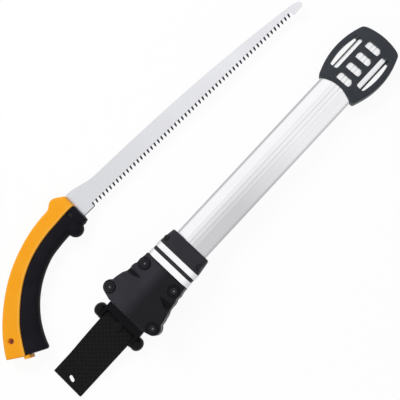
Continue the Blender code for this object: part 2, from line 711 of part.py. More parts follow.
def tang_slot_mesh():
    return prism_mesh([tang_outline(GAP, REACH)], -TANG_SLOT_HALF, TANG_SLOT_HALF)


def build_spine(parent):
    mesh = prism_mesh([spine_outline()], -HANDLE_HALF, HANDLE_HALF, rounding=HANDLE_ROUND)
    spine = add_part("handle_spine", mesh, ORANGE, parent)
    boolean(spine, "UNION", prism_mesh([web_outline(0.0, WEB_ROOT)], -WEB_HALF, WEB_HALF), "web")
    lip_half = HANDLE_HALF - HANDLE_ROUND / 3
    boolean(spine, "UNION", prism_mesh([butt_lip_outline()], -lip_half, lip_half), "butt_lip")
    boolean(spine, "DIFFERENCE", tang_slot_mesh(), "tang_slot")
    lanyard = handle_point(LANYARD_HOLE_ANGLE, SEAM_RADIUS + LANYARD_HOLE_RISE)
    holes = [cylinder_mesh(LANYARD_HOLE_RADIUS, -REACH, REACH, at=lanyard),
             cylinder_mesh(BLADE_BOLT_RADIUS + GAP, -REACH, REACH, at=blade_bolt_at()),
             cylinder_mesh(TANG_RIVET_RADIUS + GAP, -REACH, REACH, at=tang_rivet_at())]
    boolean(spine, "DIFFERENCE", joined(holes), "holes")


def build_grip(parent):
    mesh = prism_mesh([grip_outline()], -HANDLE_HALF, HANDLE_HALF, rounding=GRIP_ROUND)
    grip = add_part("palm_grip", mesh, GRIP_BLACK, parent)
    web_slot = prism_mesh([web_outline(GAP, REACH)], -WEB_HALF - GAP, WEB_HALF + GAP)
    boolean(grip, "DIFFERENCE", web_slot, "web_slot")
    boolean(grip, "DIFFERENCE", tang_slot_mesh(), "tang_slot")
    face = HANDLE_HALF - BLADE_BOLT_SINK
    head_floor = face - BLADE_BOLT_HEAD - GAP
    nut_floor = -face + NUT_THICKNESS + GAP
    hole = cylinder_mesh(BLADE_BOLT_RADIUS + GAP, -REACH, REACH, at=blade_bolt_at())
    boolean(grip, "DIFFERENCE", hole, "bolt_hole")
    head = cylinder_mesh(BLADE_BOLT_HEAD_RADIUS + GAP, head_floor, REACH, at=blade_bolt_at())
    nut = cylinder_mesh(NUT_CORNER + GAP, -REACH, nut_floor, at=blade_bolt_at(), sides=6)
    boolean(grip, "DIFFERENCE", joined([head, nut]), "bolt_seats")


def build_blade_fixings(parent):
    face = HANDLE_HALF - BLADE_BOLT_SINK
    nut_low = -face
    nut_high = nut_low + NUT_THICKNESS
    add_bolt("blade_bolt", blade_bolt_at(), BLADE_BOLT_RADIUS, BLADE_BOLT_HEAD_RADIUS,
             BLADE_BOLT_HEAD, face, nut_low, parent)
    add_nut("blade_nut", blade_bolt_at(), BLADE_BOLT_RADIUS, nut_low, nut_high, parent)
    rivet = cylinder_mesh(TANG_RIVET_RADIUS, -WEB_HALF, WEB_HALF, at=tang_rivet_at())
    add_part("tang_rivet", rivet, BOLT_STEEL, parent)


def add_bolt(name, at, radius, head_radius, head, top, end, parent):
    """A socket head bolt whose head ends at top and whose shank ends at end."""
    under = top - head
    profile = [(0.0, top), (head_radius - HEAD_CHAMFER, top), (head_radius, top - HEAD_CHAMFER)]
    profile += [(head_radius, under), (radius, under), (radius, end), (0.0, end)]
    bolt = turned_part(name, profile, BOLT_STEEL, parent, "z")
    bolt.location = (*at, 0)
    depth = min(SOCKET_DEPTH, head - SOCKET_FLOOR)
    across = min(SOCKET_ACROSS, head_radius)
    socket = cylinder_mesh(across / 3 ** 0.5, top - depth, top + REACH, at=at, sides=6)
    boolean(bolt, "DIFFERENCE", socket, "socket")
    return bolt


def add_nut(name, at, radius, low, high, parent):
    nut = add_part(name, cylinder_mesh(NUT_CORNER, low, high, at=at, sides=6), BOLT_STEEL, parent, 0)
    bore = cylinder_mesh(radius + GAP, low - REACH, high + REACH, at=at)
    boolean(nut, "DIFFERENCE", bore, "bore")


# ---- scabbard mouth ----
def throat_mesh():
    """The blade's way in, with a flare at the lip."""
    side = THROAT_HALF_WIDTH
    rise = THROAT_HALF_HEIGHT
    flare = rise + FLARE_RISE
    run = TUBE_START + GAP
    half = [(-REACH, flare), (0.0, flare), (FLARE_LENGTH, rise), (run, rise)]
    return prism_mesh([mirrored(half)], -side, side, axis="y")


def tube_pocket_mesh(start, end):
    return prism_mesh([tube_outline(-GAP)], start, end, axis="x")


def roller_pocket_mesh():
    side = ROLLER_LENGTH / 2 + GAP
    half = ROLLER_RADIUS + GAP
    return box_mesh((ROLLER_AT - half, -side, -ROLLER_REACH), (ROLLER_AT + half, side, ROLLER_REACH))


def axle_seat_mesh():
    seats = []
    for sign in (1, -1):
        seats.append(cylinder_mesh(AXLE_RADIUS + GAP, -AXLE_HALF - GAP, AXLE_HALF + GAP, axis="y",
                                   at=(ROLLER_AT, sign * ROLLER_OFFSET), sides=SMALL_SIDES))
    return joined(seats)


def case_cutters(shell):
    """Cuts that both half shells share."""
    boolean(shell, "DIFFERENCE", throat_mesh(), "throat")
    boolean(shell, "DIFFERENCE", tube_pocket_mesh(TUBE_START - GAP, COLLAR_AT + REACH), "tube_pocket")
    boolean(shell, "DIFFERENCE", roller_pocket_mesh(), "roller_pocket")
    boolean(shell, "DIFFERENCE", axle_seat_mesh(), "axle_seats")
    shanks = [cylinder_mesh(BOLT_RADIUS + GAP, -REACH, REACH, at=at) for at in BOLTS]
    boolean(shell, "DIFFERENCE", joined(shanks), "bolt_holes")


def case_blank(name, sign, parent):
    """One half of the mouth case: sign is 1 for the front and -1 for the back."""
    near = GAP / 2
    far = CASE_HALF_HEIGHT
    full = prism_mesh([case_outline()], -far, far, rounding=CASE_ROUND)
    shell = add_part(name, full, SHELL_BLACK, parent)
    spigot = rounded_box(SPIGOT_HALF_WIDTH, SPIGOT_HALF_HEIGHT, SPIGOT_CORNER)
    ridge = rounded_box(BAND_HALF_WIDTH - RIDGE_STEP, BAND_HALF_HEIGHT - RIDGE_STEP, BAND_CORNER)
    root = CASE_LENGTH - CASE_ROUND - SPIGOT_ROOT
    boolean(shell, "UNION", prism_mesh([spigot], root, COLLAR_AT - GAP, axis="x"), "spigot")
    boolean(shell, "UNION", prism_mesh([ridge], RIDGE_AT, RIDGE_AT + RIDGE_LENGTH, axis="x"), "ridge")
    half = box_mesh((-REACH, -2 * REACH, near), (COLLAR_AT + REACH, 2 * REACH, REACH))
    if sign < 0:
        half.transform(Matrix.Rotation(pi, 4, "X"))
    boolean(shell, "INTERSECT", half, "half")
    return shell


def build_front_shell(parent):
    shell = case_blank("mouth_front_shell", 1, parent)
    half_length = PAD_LENGTH / 2
    pad = moved(rounded_box(half_length, PAD_HALF_WIDTH, PAD_CORNER, 3), PAD_START + half_length, 0)
    pad_top = CASE_HALF_HEIGHT + PAD_RISE
    rings = [cylinder_mesh(BOSS_RING, CASE_HALF_HEIGHT - CASE_ROUND, BOSS_TOP, at=at, sides=32) for at in BOLTS]
    boolean(shell, "UNION", joined(rings), "bosses")
    boolean(shell, "UNION", prism_mesh([pad], CASE_HALF_HEIGHT - OVERLAP, pad_top), "pad")
    case_cutters(shell)
    head_floor = BOSS_TOP + BOLT_PROUD - BOLT_HEAD - GAP
    heads = [cylinder_mesh(BOLT_HEAD_RADIUS + 2 * GAP, head_floor, REACH, at=at) for at in BOLTS]
    boolean(shell, "DIFFERENCE", joined(heads), "head_seats")
    scallops = []
    for sign in (1, -1):
        edge = sign * (CASE_WAIST[1] + BOSS_OUTER / 2)
        tip = sign * (CASE_WAIST[1] - SCALLOP_REACH)
        wide = SCALLOP_WIDTH / 2
        triangle = [(CASE_WAIST_AT - wide, edge), (CASE_WAIST_AT + wide, edge), (CASE_WAIST_AT, tip)]
        scallops.append(prism_mesh([triangle], CASE_HALF_HEIGHT - SCALLOP_DEPTH, REACH))
    boolean(shell, "DIFFERENCE", joined(scallops), "scallops")


def lug_outline():
    """Side view of a lug, in X and Z: an eye about the bar, carried by the neck plate."""
    eye = arc((BAR_AT, -BAR_DROP), LUG_RADIUS, 75, 300, 14)
    return eye + [(LUG_FOOT, NECK_UNDER), (LUG_FOOT, -CASE_HALF_HEIGHT)]


def build_back_shell(parent):
    shell = case_blank("mouth_back_shell", -1, parent)
    neck = box_mesh((NECK_END, -LUG_OUTER, NECK_UNDER), (NECK_LENGTH, LUG_OUTER, -CASE_HALF_HEIGHT + OVERLAP))
    boolean(shell, "UNION", neck, "neck")
    lugs = [prism_mesh([lug_outline()], LUG_INNER, LUG_OUTER, axis="y"),
            prism_mesh([lug_outline()], -LUG_OUTER, -LUG_INNER, axis="y")]
    boolean(shell, "UNION", joined(lugs), "lugs")
    bore = cylinder_mesh(BAR_RADIUS + GAP, -REACH, REACH, axis="y", at=(BAR_AT, -BAR_DROP))
    boolean(shell, "DIFFERENCE", bore, "bar_bore")
    side = BUTTON_RADIUS + 2 * GAP
    sweep = cylinder_mesh(BUTTON_SWEEP + 2 * GAP, -side, side, axis="y", at=(BAR_AT, -BAR_DROP), sides=32)
    boolean(shell, "DIFFERENCE", sweep, "button_sweep")
    case_cutters(shell)
    nut_floor = -CASE_HALF_HEIGHT + NUT_THICKNESS + GAP
    seats = [cylinder_mesh(NUT_CORNER + 2 * GAP, -REACH, nut_floor, at=at, sides=6) for at in BOLTS]
    boolean(shell, "DIFFERENCE", joined(seats), "nut_seats")


def build_mouth_fixings(parent):
    nut_low = -CASE_HALF_HEIGHT
    for i, at in enumerate(BOLTS, start=1):
        add_bolt(f"mouth_bolt_{i}", at, BOLT_RADIUS, BOLT_HEAD_RADIUS, BOLT_HEAD, BOSS_TOP + BOLT_PROUD,
                 nut_low, parent)
        add_nut(f"mouth_nut_{i}", at, BOLT_RADIUS, nut_low, nut_low + NUT_THICKNESS, parent)


def build_rollers(scabbard):
    """Two rubber rollers that hold the blade still in the throat; each turns on a fixed axle."""
    for side, sign in (("front", 1), ("back", -1)):
        frame = new_frame(f"roller_{side}_axis", (ROLLER_AT, 0, sign * ROLLER_OFFSET), parent=scabbard)
        half = ROLLER_LENGTH / 2
        mesh = cylinder_mesh(ROLLER_RADIUS, -half, half, axis="y", sides=20)
        roller = add_part(f"guide_roller_{side}", mesh, RUBBER, frame)
        bore = cylinder_mesh(AXLE_RADIUS + ROLLER_BORE_GAP, -REACH, REACH, axis="y", sides=SMALL_SIDES)
        boolean(roller, "DIFFERENCE", bore, "bore")
        axle = cylinder_mesh(AXLE_RADIUS, -AXLE_HALF, AXLE_HALF, axis="y",
                             at=(ROLLER_AT, sign * ROLLER_OFFSET), sides=SMALL_SIDES)
        add_part(f"roller_axle_{side}", axle, BOLT_STEEL, scabbard)


# ---- scabbard tube and tail ----
def build_tube(parent):
    outlines = [tube_outline(0.0, grooves=True), tube_outline(TUBE_WALL)]
    add_part("scabbard_tube", prism_mesh(outlines, TUBE_START, TUBE_END, axis="x"), ALUMINIUM, parent)


def build_bands(parent):
    outer = rounded_box(BAND_HALF_WIDTH, BAND_HALF_HEIGHT, BAND_CORNER)
    inner = rounded_box(SPIGOT_HALF_WIDTH + GAP, SPIGOT_HALF_HEIGHT + GAP, SPIGOT_CORNER + GAP)
    for i, at in enumerate((BAND_1_AT, BAND_2_AT), start=1):
        add_part(f"silver_band_{i}", prism_mesh([outer, inner], at, at + BAND_LENGTH, axis="x"), ALUMINIUM, parent)


def build_collar(parent):
    start = COLLAR_AT
    end = COLLAR_AT + COLLAR_LENGTH
    outline = rounded_box(BAND_HALF_WIDTH - COLLAR_STEP, BAND_HALF_HEIGHT - COLLAR_STEP, BAND_CORNER)
    mesh = prism_mesh([outline], start, end, axis="x")
    for vertex in mesh.vertices:
        if vertex.co.x > (start + end) / 2:
            vertex.co.y *= 1 - COLLAR_TAPER / BAND_HALF_WIDTH
            vertex.co.z *= 1 - COLLAR_TAPER / BAND_HALF_WIDTH
    collar = add_part("tube_collar", mesh, SHELL_BLACK, parent)
    bevel = collar.modifiers.new("round", "BEVEL")
    bevel.width = COLLAR_ROUND
    bevel.segments = 2
    bevel.limit_method = "ANGLE"
    bevel.angle_limit = radians(60)
    boolean(collar, "DIFFERENCE", tube_pocket_mesh(start - REACH, end + REACH), "tube_pocket")
    spots = [(start + COLLAR_SCREW_OFFSET, sign * COLLAR_SCREW_Y) for sign in (1, -1)]
    head_floor = COLLAR_SCREW_TOP - COLLAR_SCREW_HEAD - GAP
    tip = COLLAR_SCREW_TOP - COLLAR_SCREW_LENGTH
    seats = [cylinder_mesh(COLLAR_SCREW_HEAD_RADIUS + GAP, head_floor, REACH, at=at) for at in spots]
    boolean(collar, "DIFFERENCE", joined(seats), "screw_seats")
    holes = [cylinder_mesh(COLLAR_SCREW_RADIUS + GAP, tip - GAP, REACH, at=at) for at in spots]
    boolean(collar, "DIFFERENCE", joined(holes), "screw_holes")
    for i, at in enumerate(spots, start=1):
        add_bolt(f"collar_screw_{i}", at, COLLAR_SCREW_RADIUS, COLLAR_SCREW_HEAD_RADIUS, COLLAR_SCREW_HEAD,
                 COLLAR_SCREW_TOP, tip, parent)


def build_cap(parent):
    mesh = prism_mesh([cap_outline()], -CAP_HALF_HEIGHT, CAP_HALF_HEIGHT, rounding=CAP_ROUND)
    cap = add_part("end_cap", mesh, CAP_BLACK, parent)
    boolean(cap, "DIFFERENCE", tube_pocket_mesh(CAP_FRONT_AT - REACH, TUBE_END + GAP), "tube_pocket")
    slots = []
    for i in range(SLOT_COUNT):
        slot = rounded_box(SLOT_WIDTH / 2, SLOT_LENGTH / 2, SLOT_ROUND, 3)
        slots.append(prism_mesh([moved(slot, SLOT_FIRST_AT + i * SLOT_PITCH, 0)], -REACH, REACH))
    for sign in (1, -1):
        slots.append(prism_mesh([side_window(sign)], -REACH, REACH))
    boolean(cap, "DIFFERENCE", joined(slots), "windows")


# ---- belt hanger ----
def build_hanger(hanger):
    """Pieces that swing about the bar; the frame's origin is on the bar's axis."""
    half = STRAP_HALF_WIDTH
    strap = add_part("belt_strap", prism_mesh(strap_outlines(), -half, half, axis="y"), WEBBING, hanger)
    middle = -STRAP_REACH + STRAP_SLOT_FROM_END
    slot = box_mesh((-STRAP_SLOT_WIDTH / 2, -STRAP_SLOT_LENGTH / 2, -REACH),
                    (STRAP_SLOT_WIDTH / 2, STRAP_SLOT_LENGTH / 2, REACH))
    slot.transform(Matrix.Translation((middle, 0, 0)) @ Matrix.Rotation(STRAP_SLOT_LEAN, 4, "Z"))
    boolean(strap, "DIFFERENCE", slot, "slot")
    shank = BUTTON_SHANK_RADIUS + GAP
    boolean(strap, "DIFFERENCE", cylinder_mesh(shank, 0.0, REACH, sides=SMALL_SIDES), "button_hole")

    rod = cylinder_mesh(BAR_RADIUS, -BAR_END, BAR_END, axis="y")
    bar = add_part("hanger_bar", rod, BOLT_STEEL, hanger)
    seat = BAR_RADIUS - BUTTON_SHANK_DEPTH
    boolean(bar, "DIFFERENCE", cylinder_mesh(shank, seat - GAP, REACH, sides=SMALL_SIDES), "button_hole")

    head = STRAP_OUTER + GAP
    dome = []
    for a in range(75, -1, -25):
        rise = BUTTON_EDGE + (1 - BUTTON_EDGE) * sin(radians(a))
        dome.append((BUTTON_RADIUS * cos(radians(a)), head + BUTTON_HEIGHT * rise))
    profile = [(0.0, head + BUTTON_HEIGHT)] + dome + [(BUTTON_RADIUS, head), (BUTTON_SHANK_RADIUS, head)]
    profile += [(BUTTON_SHANK_RADIUS, seat), (0.0, seat)]
    turned_part("hanger_button", profile, BOLT_STEEL, hanger, "z")

    for name, sign in (("left", 1), ("right", -1)):
        add_knob(f"bar_knob_{name}", sign, hanger)


def add_knob(name, sign, hanger):
    """A domed knob on the end of the bar, with a blind bore."""
    start = LUG_OUTER + GAP
    shoulder = start + KNOB_NECK
    floor = BAR_END + GAP
    end = floor + KNOB_FLOOR
    bore = BAR_RADIUS + GAP
    dome = [(KNOB_RADIUS * cos(radians(a)), shoulder + (end - shoulder) * sin(radians(a)))
            for a in range(75, -1, -15)]
    profile = [(0.0, end)] + dome + [(KNOB_RADIUS, start), (bore, start), (bore, floor), (0.0, floor)]
    knob = turned_part(name, profile, SHELL_BLACK, hanger, "z")
    knob.matrix_basis = Matrix.Rotation(-sign * pi / 2, 4, "X")


# ---- assembly ----
def world_box():
    """Lowest and highest corner of all pieces."""
    bpy.context.view_layer.update()
    graph = bpy.context.evaluated_depsgraph_get()
    points = []
    for part in PARTS.objects:
        if part.type == "MESH":
            ready = part.evaluated_get(graph)
            points += [ready.matrix_world @ v.co for v in ready.data.vertices]
    low = Vector([min(p[i] for p in points) for i in range(3)])
    high = Vector([max(p[i] for p in points) for i in range(3)])
    return low, high


clear_scene()
PARTS = new_collection("pruning_saw_with_scabbard")
TOOLS = new_collection("cutters")
STEEL = new_material("brushed_steel", (0.74, 0.75, 0.78), 1.0, 0.32)
BOLT_STEEL = new_material("bolt_steel", (0.10, 0.10, 0.11), 1.0, 0.40)
ALUMINIUM = new_material("aluminium", (0.86, 0.87, 0.89), 1.0, 0.30)
ORANGE = new_material("orange_grip", (0.95, 0.45, 0.03), 0.0, 0.50)
GRIP_BLACK = new_material("grip_black", (0.03, 0.03, 0.033), 0.0, 0.65)
SHELL_BLACK = new_material("shell_black", (0.035, 0.036, 0.04), 0.0, 0.45)
CAP_BLACK = new_material("cap_black", (0.03, 0.033, 0.035), 0.0, 0.55)
RUBBER = new_material("rubber", (0.02, 0.02, 0.02), 0.0, 0.80)
WEBBING = new_material("webbing", (0.02, 0.02, 0.022), 0.0, 0.90)

ROOT = new_frame("layout", (0, 0, 0))
SCABBARD = new_frame("scabbard_frame", (0, 0, MOUTH_HEIGHT), (0, PITCH, 0), ROOT)
HANGER = new_frame("hanger_axis", (BAR_WORLD_X, 0, REST_RADIUS), parent=ROOT)
SAW = new_frame("saw_frame", (*SAW_AT, HANDLE_HALF), (0, 0, SAW_TURN), ROOT)

build_blade(SAW)
build_spine(SAW)
build_grip(SAW)
build_blade_fixings(SAW)
build_front_shell(SCABBARD)
build_back_shell(SCABBARD)
build_mouth_fixings(SCABBARD)
build_rollers(SCABBARD)
build_tube(SCABBARD)
build_bands(SCABBARD)
build_collar(SCABBARD)
build_cap(SCABBARD)
build_hanger(HANGER)

BOX_LOW, BOX_HIGH = world_box()
ROOT.location = (-(BOX_LOW.x + BOX_HIGH.x) / 2, -(BOX_LOW.y + BOX_HIGH.y) / 2, -BOX_LOW.z)
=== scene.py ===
"""Looks for a fixed-blade pruning saw that lies beside its scabbard, which hangs from a webbing belt loop.

Pieces are drawn in millimetres in the scabbard's, the saw's or the hanger's own frame, as the maker would
draw them, and then put in their place in metres. The scabbard's frame starts at the middle of its mouth:
+X down the tube, +Z out of the front. The saw's starts at the front of its handle on the tooth line: +X to
the tip, +Y to the spine. The hanger's is on the axis of its bar.
"""
from math import asin, cos, degrees, exp, hypot, pi, radians, sin

import bmesh
import bpy
from mathutils import Matrix, Vector


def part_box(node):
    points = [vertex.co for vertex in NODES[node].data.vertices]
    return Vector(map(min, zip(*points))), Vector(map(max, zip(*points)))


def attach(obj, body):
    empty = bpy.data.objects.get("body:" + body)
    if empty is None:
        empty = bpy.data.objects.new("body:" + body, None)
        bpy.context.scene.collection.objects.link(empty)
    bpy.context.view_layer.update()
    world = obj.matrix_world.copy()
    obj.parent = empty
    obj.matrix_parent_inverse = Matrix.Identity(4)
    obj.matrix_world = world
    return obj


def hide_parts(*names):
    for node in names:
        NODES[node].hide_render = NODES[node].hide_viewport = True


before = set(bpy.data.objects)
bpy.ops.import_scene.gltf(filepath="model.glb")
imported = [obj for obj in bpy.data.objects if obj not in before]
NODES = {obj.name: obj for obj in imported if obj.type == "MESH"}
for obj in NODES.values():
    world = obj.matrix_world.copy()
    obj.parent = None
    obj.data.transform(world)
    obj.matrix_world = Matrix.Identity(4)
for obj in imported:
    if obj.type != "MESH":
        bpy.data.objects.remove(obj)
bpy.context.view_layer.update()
TO_METRES = Matrix.Scale(0.001, 4)


def middle(node):
    low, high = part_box(node)
    return (low + high) / 2


# ---- where the three frames are ----
SEAM_CENTRE = (-25.7, -147.7)   # the tang and the handle are bent about this point
SEAM_RADIUS = 165.5
BLADE_NUT_ACROSS = 8.0
BAR_AT = (-18.0, -22.3)         # the hanger's bar in the scabbard's frame, X and Z
PITCH = asin(0.037656)          # the scabbard leans on its lugs and its far end
SAW_TURN = radians(-3.5)


def handle_point(angle, radius):
    """A point of the handle from its angle past the crown of the seam and its distance from the centre."""
    return (SEAM_CENTRE[0] - radius * sin(angle), SEAM_CENTRE[1] + radius * cos(angle))


BLADE_BOLT = handle_point(radians(-5.3), SEAM_RADIUS - BLADE_NUT_ACROSS / 3 ** 0.5 - 0.6)
HANGER = Matrix.Translation(middle("hanger_bar"))
SCABBARD = HANGER @ Matrix.Rotation(PITCH, 4, "Y")
SCABBARD = SCABBARD @ Matrix.Translation((-BAR_AT[0] / 1000, 0, -BAR_AT[1] / 1000))
SAW = Matrix.Translation(middle("blade_bolt")) @ Matrix.Rotation(SAW_TURN, 4, "Z")
SAW = SAW @ Matrix.Translation((-BLADE_BOLT[0] / 1000, -BLADE_BOLT[1] / 1000, 0))
FRAMES = {"scabbard": SCABBARD, "saw": SAW, "hanger": HANGER}

# ---- sizes that more than one piece needs ----
TEETH = 58
TOOTH_PITCH = 6.0
TOOTH_DEPTH = 5.0
FIRST_TOOTH = 19.7
HEEL_END = 18.4                 # the toothless heel runs from the handle to here
SHOULDER = 0.3                  # blade to the front of the handle
TANG_END = radians(34)
TANG_HALF = 9.0
BLADE_HALF = 0.75               # half its thickness
BOLTS = [(12.9, 36.3), (12.9, -36.3), (62.5, 24.5), (62.5, -24.5)]
COLLAR_SCREWS = [(103.6, 26.8), (103.6, -26.8)]
SPLIT = 0.15                    # half the gap between the halves of the mouth
ROOM = -0.3                     # inset of the tube's outline that gives the room around it
OUTER_FOLD = 20.35              # the tube's folds and fine grooves, from its middle
INNER_FOLD = 7.8
FINE_GROOVE = 2.7
GROUND = -9.3                   # below the bar's axis
SEWN_FROM = -66.0               # the end of the strap is sewn down beyond this
STRAP_END = -97.2
STRAP_WIDTH = 46.8
STRAP_HALF = 1.07               # half the webbing's thickness
UPPER_LAYER = 3.3               # middle of the webbing's upper layer above the ground
BUTTON_FACE = 7.5               # the button's rim stands at this height over the bar's axis


# ---- camera, floor and light ----
def make_camera():
    data = bpy.data.cameras.new("camera")
    data.sensor_width = 36
    data.lens = 74.7
    data.clip_start = 0.05
    data.clip_end = 20
    camera = bpy.data.objects.new("camera", data)
    bpy.context.scene.collection.objects.link(camera)
    back = Vector((-0.0025, -0.1654, 0.9862)).normalized()
    right = Vector((0.6776, -0.7255, -0.12))
    right = (right - back * right.dot(back)).normalized()
    up = back.cross(right)
    place = Matrix((right, up, back)).transposed().to_4x4()
    place.translation = Vector((0.0056, -0.0288, 0.0)) + back * 1.045
    camera.matrix_world = place
    bpy.context.scene.camera = camera


def make_floor():
    """Matt white, and nearly plain white to the camera and in reflections."""
    bpy.ops.mesh.primitive_plane_add(size=8, location=(0, 0, -0.0002))
    floor = bpy.context.object
    floor.name = "floor"
    material, tree, shader = new_finish("white_floor", (0.98, 0.98, 0.98), 0.9)
    glow = add(tree, "Emission", Color=(1, 1, 1, 1))
    ray = add(tree, "LightPath").outputs
    seen = maths(tree, "MAXIMUM", ray["Is Camera Ray"], ray["Is Glossy Ray"])
    mix = add(tree, "MixShader", n0=times(tree, seen, 0.93), n1=shader.outputs[0], n2=glow.outputs[0])
    tree.links.new(mix.outputs[0], tree.nodes["Material Output"].inputs["Surface"])
    floor.data.materials.append(material)


def make_lamp(name, place, size, watts, in_mirrors):
    data = bpy.data.lights.new(name, "AREA")
    data.shape = "DISK"
    data.size = size
    data.energy = watts
    lamp = bpy.data.objects.new(name, data)
    bpy.context.scene.collection.objects.link(lamp)
    lamp.location = place
    lamp.rotation_euler = (-Vector(place)).to_track_quat("-Z", "Y").to_euler()
    lamp.visible_glossy = in_mirrors


def make_light():
    """A white room with a large soft lamp over the far side; little of each lamp shows in the metal."""
    world = bpy.data.worlds.new("studio")
    bpy.context.scene.world = world
    world.use_nodes = True
    tree = world.node_tree
    way = add(tree, "SeparateXYZ", Vector=add(tree, "TexCoord").outputs["Generated"]).outputs["Y"]
    mirrored_room = spread(tree, way, -0.3, 0.5, 0.92, 1.0)
    matt = add(tree, "LightPath").outputs["Is Diffuse Ray"]
    strength = add(tree, "MapRange", Value=matt, To_Min=mirrored_room, To_Max=0.42).outputs[0]
    tree.links.new(strength, tree.nodes["Background"].inputs["Strength"])
    tree.nodes["Background"].inputs["Color"].default_value = (1, 1, 1, 1)
    for name, share in (("soft", 0.85), ("glint", 0.15)):
        make_lamp("key_" + name, (0.05, 1.0, 1.15), 0.8, 13.0 * share, name == "glint")
        make_lamp("fill_" + name, (-0.6, -0.8, 1.1), 1.1, 3.5 * share, name == "glint")


# ---- tools for drawing pieces ----
def select_all():
    bpy.ops.mesh.select_all(action="SELECT")


def new_piece(primitive, name, **place):
    """Adds a primitive at its place, alone and selected all over, in edit mode."""
    bpy.ops.object.select_all(action="DESELECT")
    primitive(**place)
    piece = bpy.context.object
    piece.name = name
    bpy.ops.object.transform_apply(location=True, rotation=True, scale=True)
    bpy.ops.object.mode_set(mode="EDIT")
    select_all()
    return piece


def pick(kind, test):
    """Selects corners or edges of the open piece by where they are, or faces by where they look."""
    bpy.ops.mesh.select_mode(type=kind)
    bpy.ops.mesh.select_all(action="DESELECT")
    body = bmesh.from_edit_mesh(bpy.context.object.data)
    if kind == "FACE":
        found = [face for face in body.faces if test(face.normal)]
    elif kind == "EDGE":
        found = [edge for edge in body.edges if all(test(corner.co) for corner in edge.verts)]
    else:
        found = [corner for corner in body.verts if test(corner.co)]
    for part in found:
        part.select_set(True)
    body.select_flush(True)
    bmesh.update_edit_mesh(bpy.context.object.data)


def push(step):
    bpy.ops.mesh.extrude_region_move(TRANSFORM_OT_translate={"value": step})


def traced(name, points):
    """A line drawn by extruding one corner from point to point."""
    piece = new_piece(bpy.ops.mesh.primitive_plane_add, name, size=1)
    bpy.ops.mesh.select_mode(type="VERT")
    bpy.ops.mesh.merge(type="CENTER")
    bpy.ops.transform.translate(value=points[0])
    for here, there in zip(points, points[1:]):
        push(Vector(there) - Vector(here))
    select_all()
    return piece


def drawn(name, points):
    """A flat face from its outline."""
    piece = traced(name, points)
    bpy.ops.mesh.edge_face_add()
    return piece


def level(points, height):
    """An outline in X and Y at a height."""
    return [(x, y, height) for x, y in points]


def upright(points, along):
    """An outline in Y and Z at a place along X."""
    return [(along, y, z) for y, z in points]


def sideways(points, across):
    """An outline in X and Z at a place across Y."""
    return [(x, across, z) for x, z in points]


def solid(name, points, step):
    """An outline drawn and pulled out into a solid, left open for more work."""
    piece = drawn(name, points)
    push(step)
    select_all()
    bpy.ops.mesh.normals_make_consistent(inside=False)
    return piece


def round_edges(test, width, segments):
    """Rounds the edges of the open piece whose two ends pass the test."""
    pick("EDGE", test)
    bpy.ops.mesh.bevel(offset=width, segments=segments, affect="EDGES", clamp_overlap=True)


def round_over(test, radius):
    """Carries the picked flat face of the open piece on over a quarter round, by insets."""
    pick("FACE", test)
    steps = 6
    for i in range(steps):
        near = pi / 2 * i / steps
        far = pi / 2 * (i + 1) / steps
        bpy.ops.mesh.inset(thickness=radius * (cos(near) - cos(far)), depth=radius * (sin(far) - sin(near)),
                           use_even_offset=True)


def close():
    """Ends the work on the open piece, with its seams merged and its faces outward."""
    select_all()
    bpy.ops.mesh.remove_doubles(threshold=0.002)
    bpy.ops.mesh.normals_make_consistent(inside=False)
    bpy.ops.object.mode_set(mode="OBJECT")
    return bpy.context.object


def choose(piece):
    bpy.ops.object.select_all(action="DESELECT")
    piece.select_set(True)
    bpy.context.view_layer.objects.active = piece


def apply_modifier(piece, kind, **settings):
    choose(piece)
    bpy.ops.object.modifier_add(type=kind)
    modifier = piece.modifiers[-1]
    for setting, value in settings.items():
        setattr(modifier, setting, value)
    bpy.ops.object.modifier_apply(modifier=modifier.name)


def combine(piece, operation, *tools):
    """Cuts, joins or keeps the common part of a piece and each finished tool, which is used up."""
    for tool in tools:
        apply_modifier(piece, "BOOLEAN", object=tool, operation=operation, solver="EXACT")
        bpy.data.objects.remove(tool)
    return piece


def cut(piece, *tools):
    return combine(piece, "DIFFERENCE", *tools)


def join(piece, *lumps):
    return combine(piece, "UNION", *lumps)


def soften(piece, width, segments=2, angle=40):
    """Breaks every sharp edge of a finished solid."""
    apply_modifier(piece, "BEVEL", width=width, segments=segments, limit_method="ANGLE",
                   angle_limit=radians(angle), use_clamp_overlap=True)


def place_piece(piece, body, material, nodes, smooth=35):
    """Puts a finished piece in its place in metres, on its body and in its finish."""
    choose(piece)
    piece.matrix_world = FRAMES[body] @ TO_METRES
    bpy.ops.object.transform_apply(location=True, rotation=True, scale=True)
    piece.data.materials.clear()
    piece.data.materials.append(material)
    bpy.ops.object.shade_smooth_by_angle(angle=radians(smooth))
    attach(piece, body)
    if nodes:
        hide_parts(*nodes)


def arc(centre, radius, start, end, steps):
    """Points on an arc; angles in degrees from the first axis."""
    points = []
    for i in range(steps + 1):
        angle = radians(start + (end - start) * i / steps)
        points.append((centre[0] + radius * cos(angle), centre[1] + radius * sin(angle)))
    return points


def mirrored(half):
    """A whole outline from its half above the first axis."""
    return half + [(x, -y) for x, y in reversed(half)]


def rounded_box(half_x, half_y, radius, steps=6, at=(0.0, 0.0)):
    """Outline of a box with round corners."""
    points = []
    for sx, sy, start in ((1, 1, 0), (-1, 1, 90), (-1, -1, 180), (1, -1, 270)):
        corner = (at[0] + sx * (half_x - radius), at[1] + sy * (half_y - radius))
        points += arc(corner, radius, start, start + 90, steps)
    return points


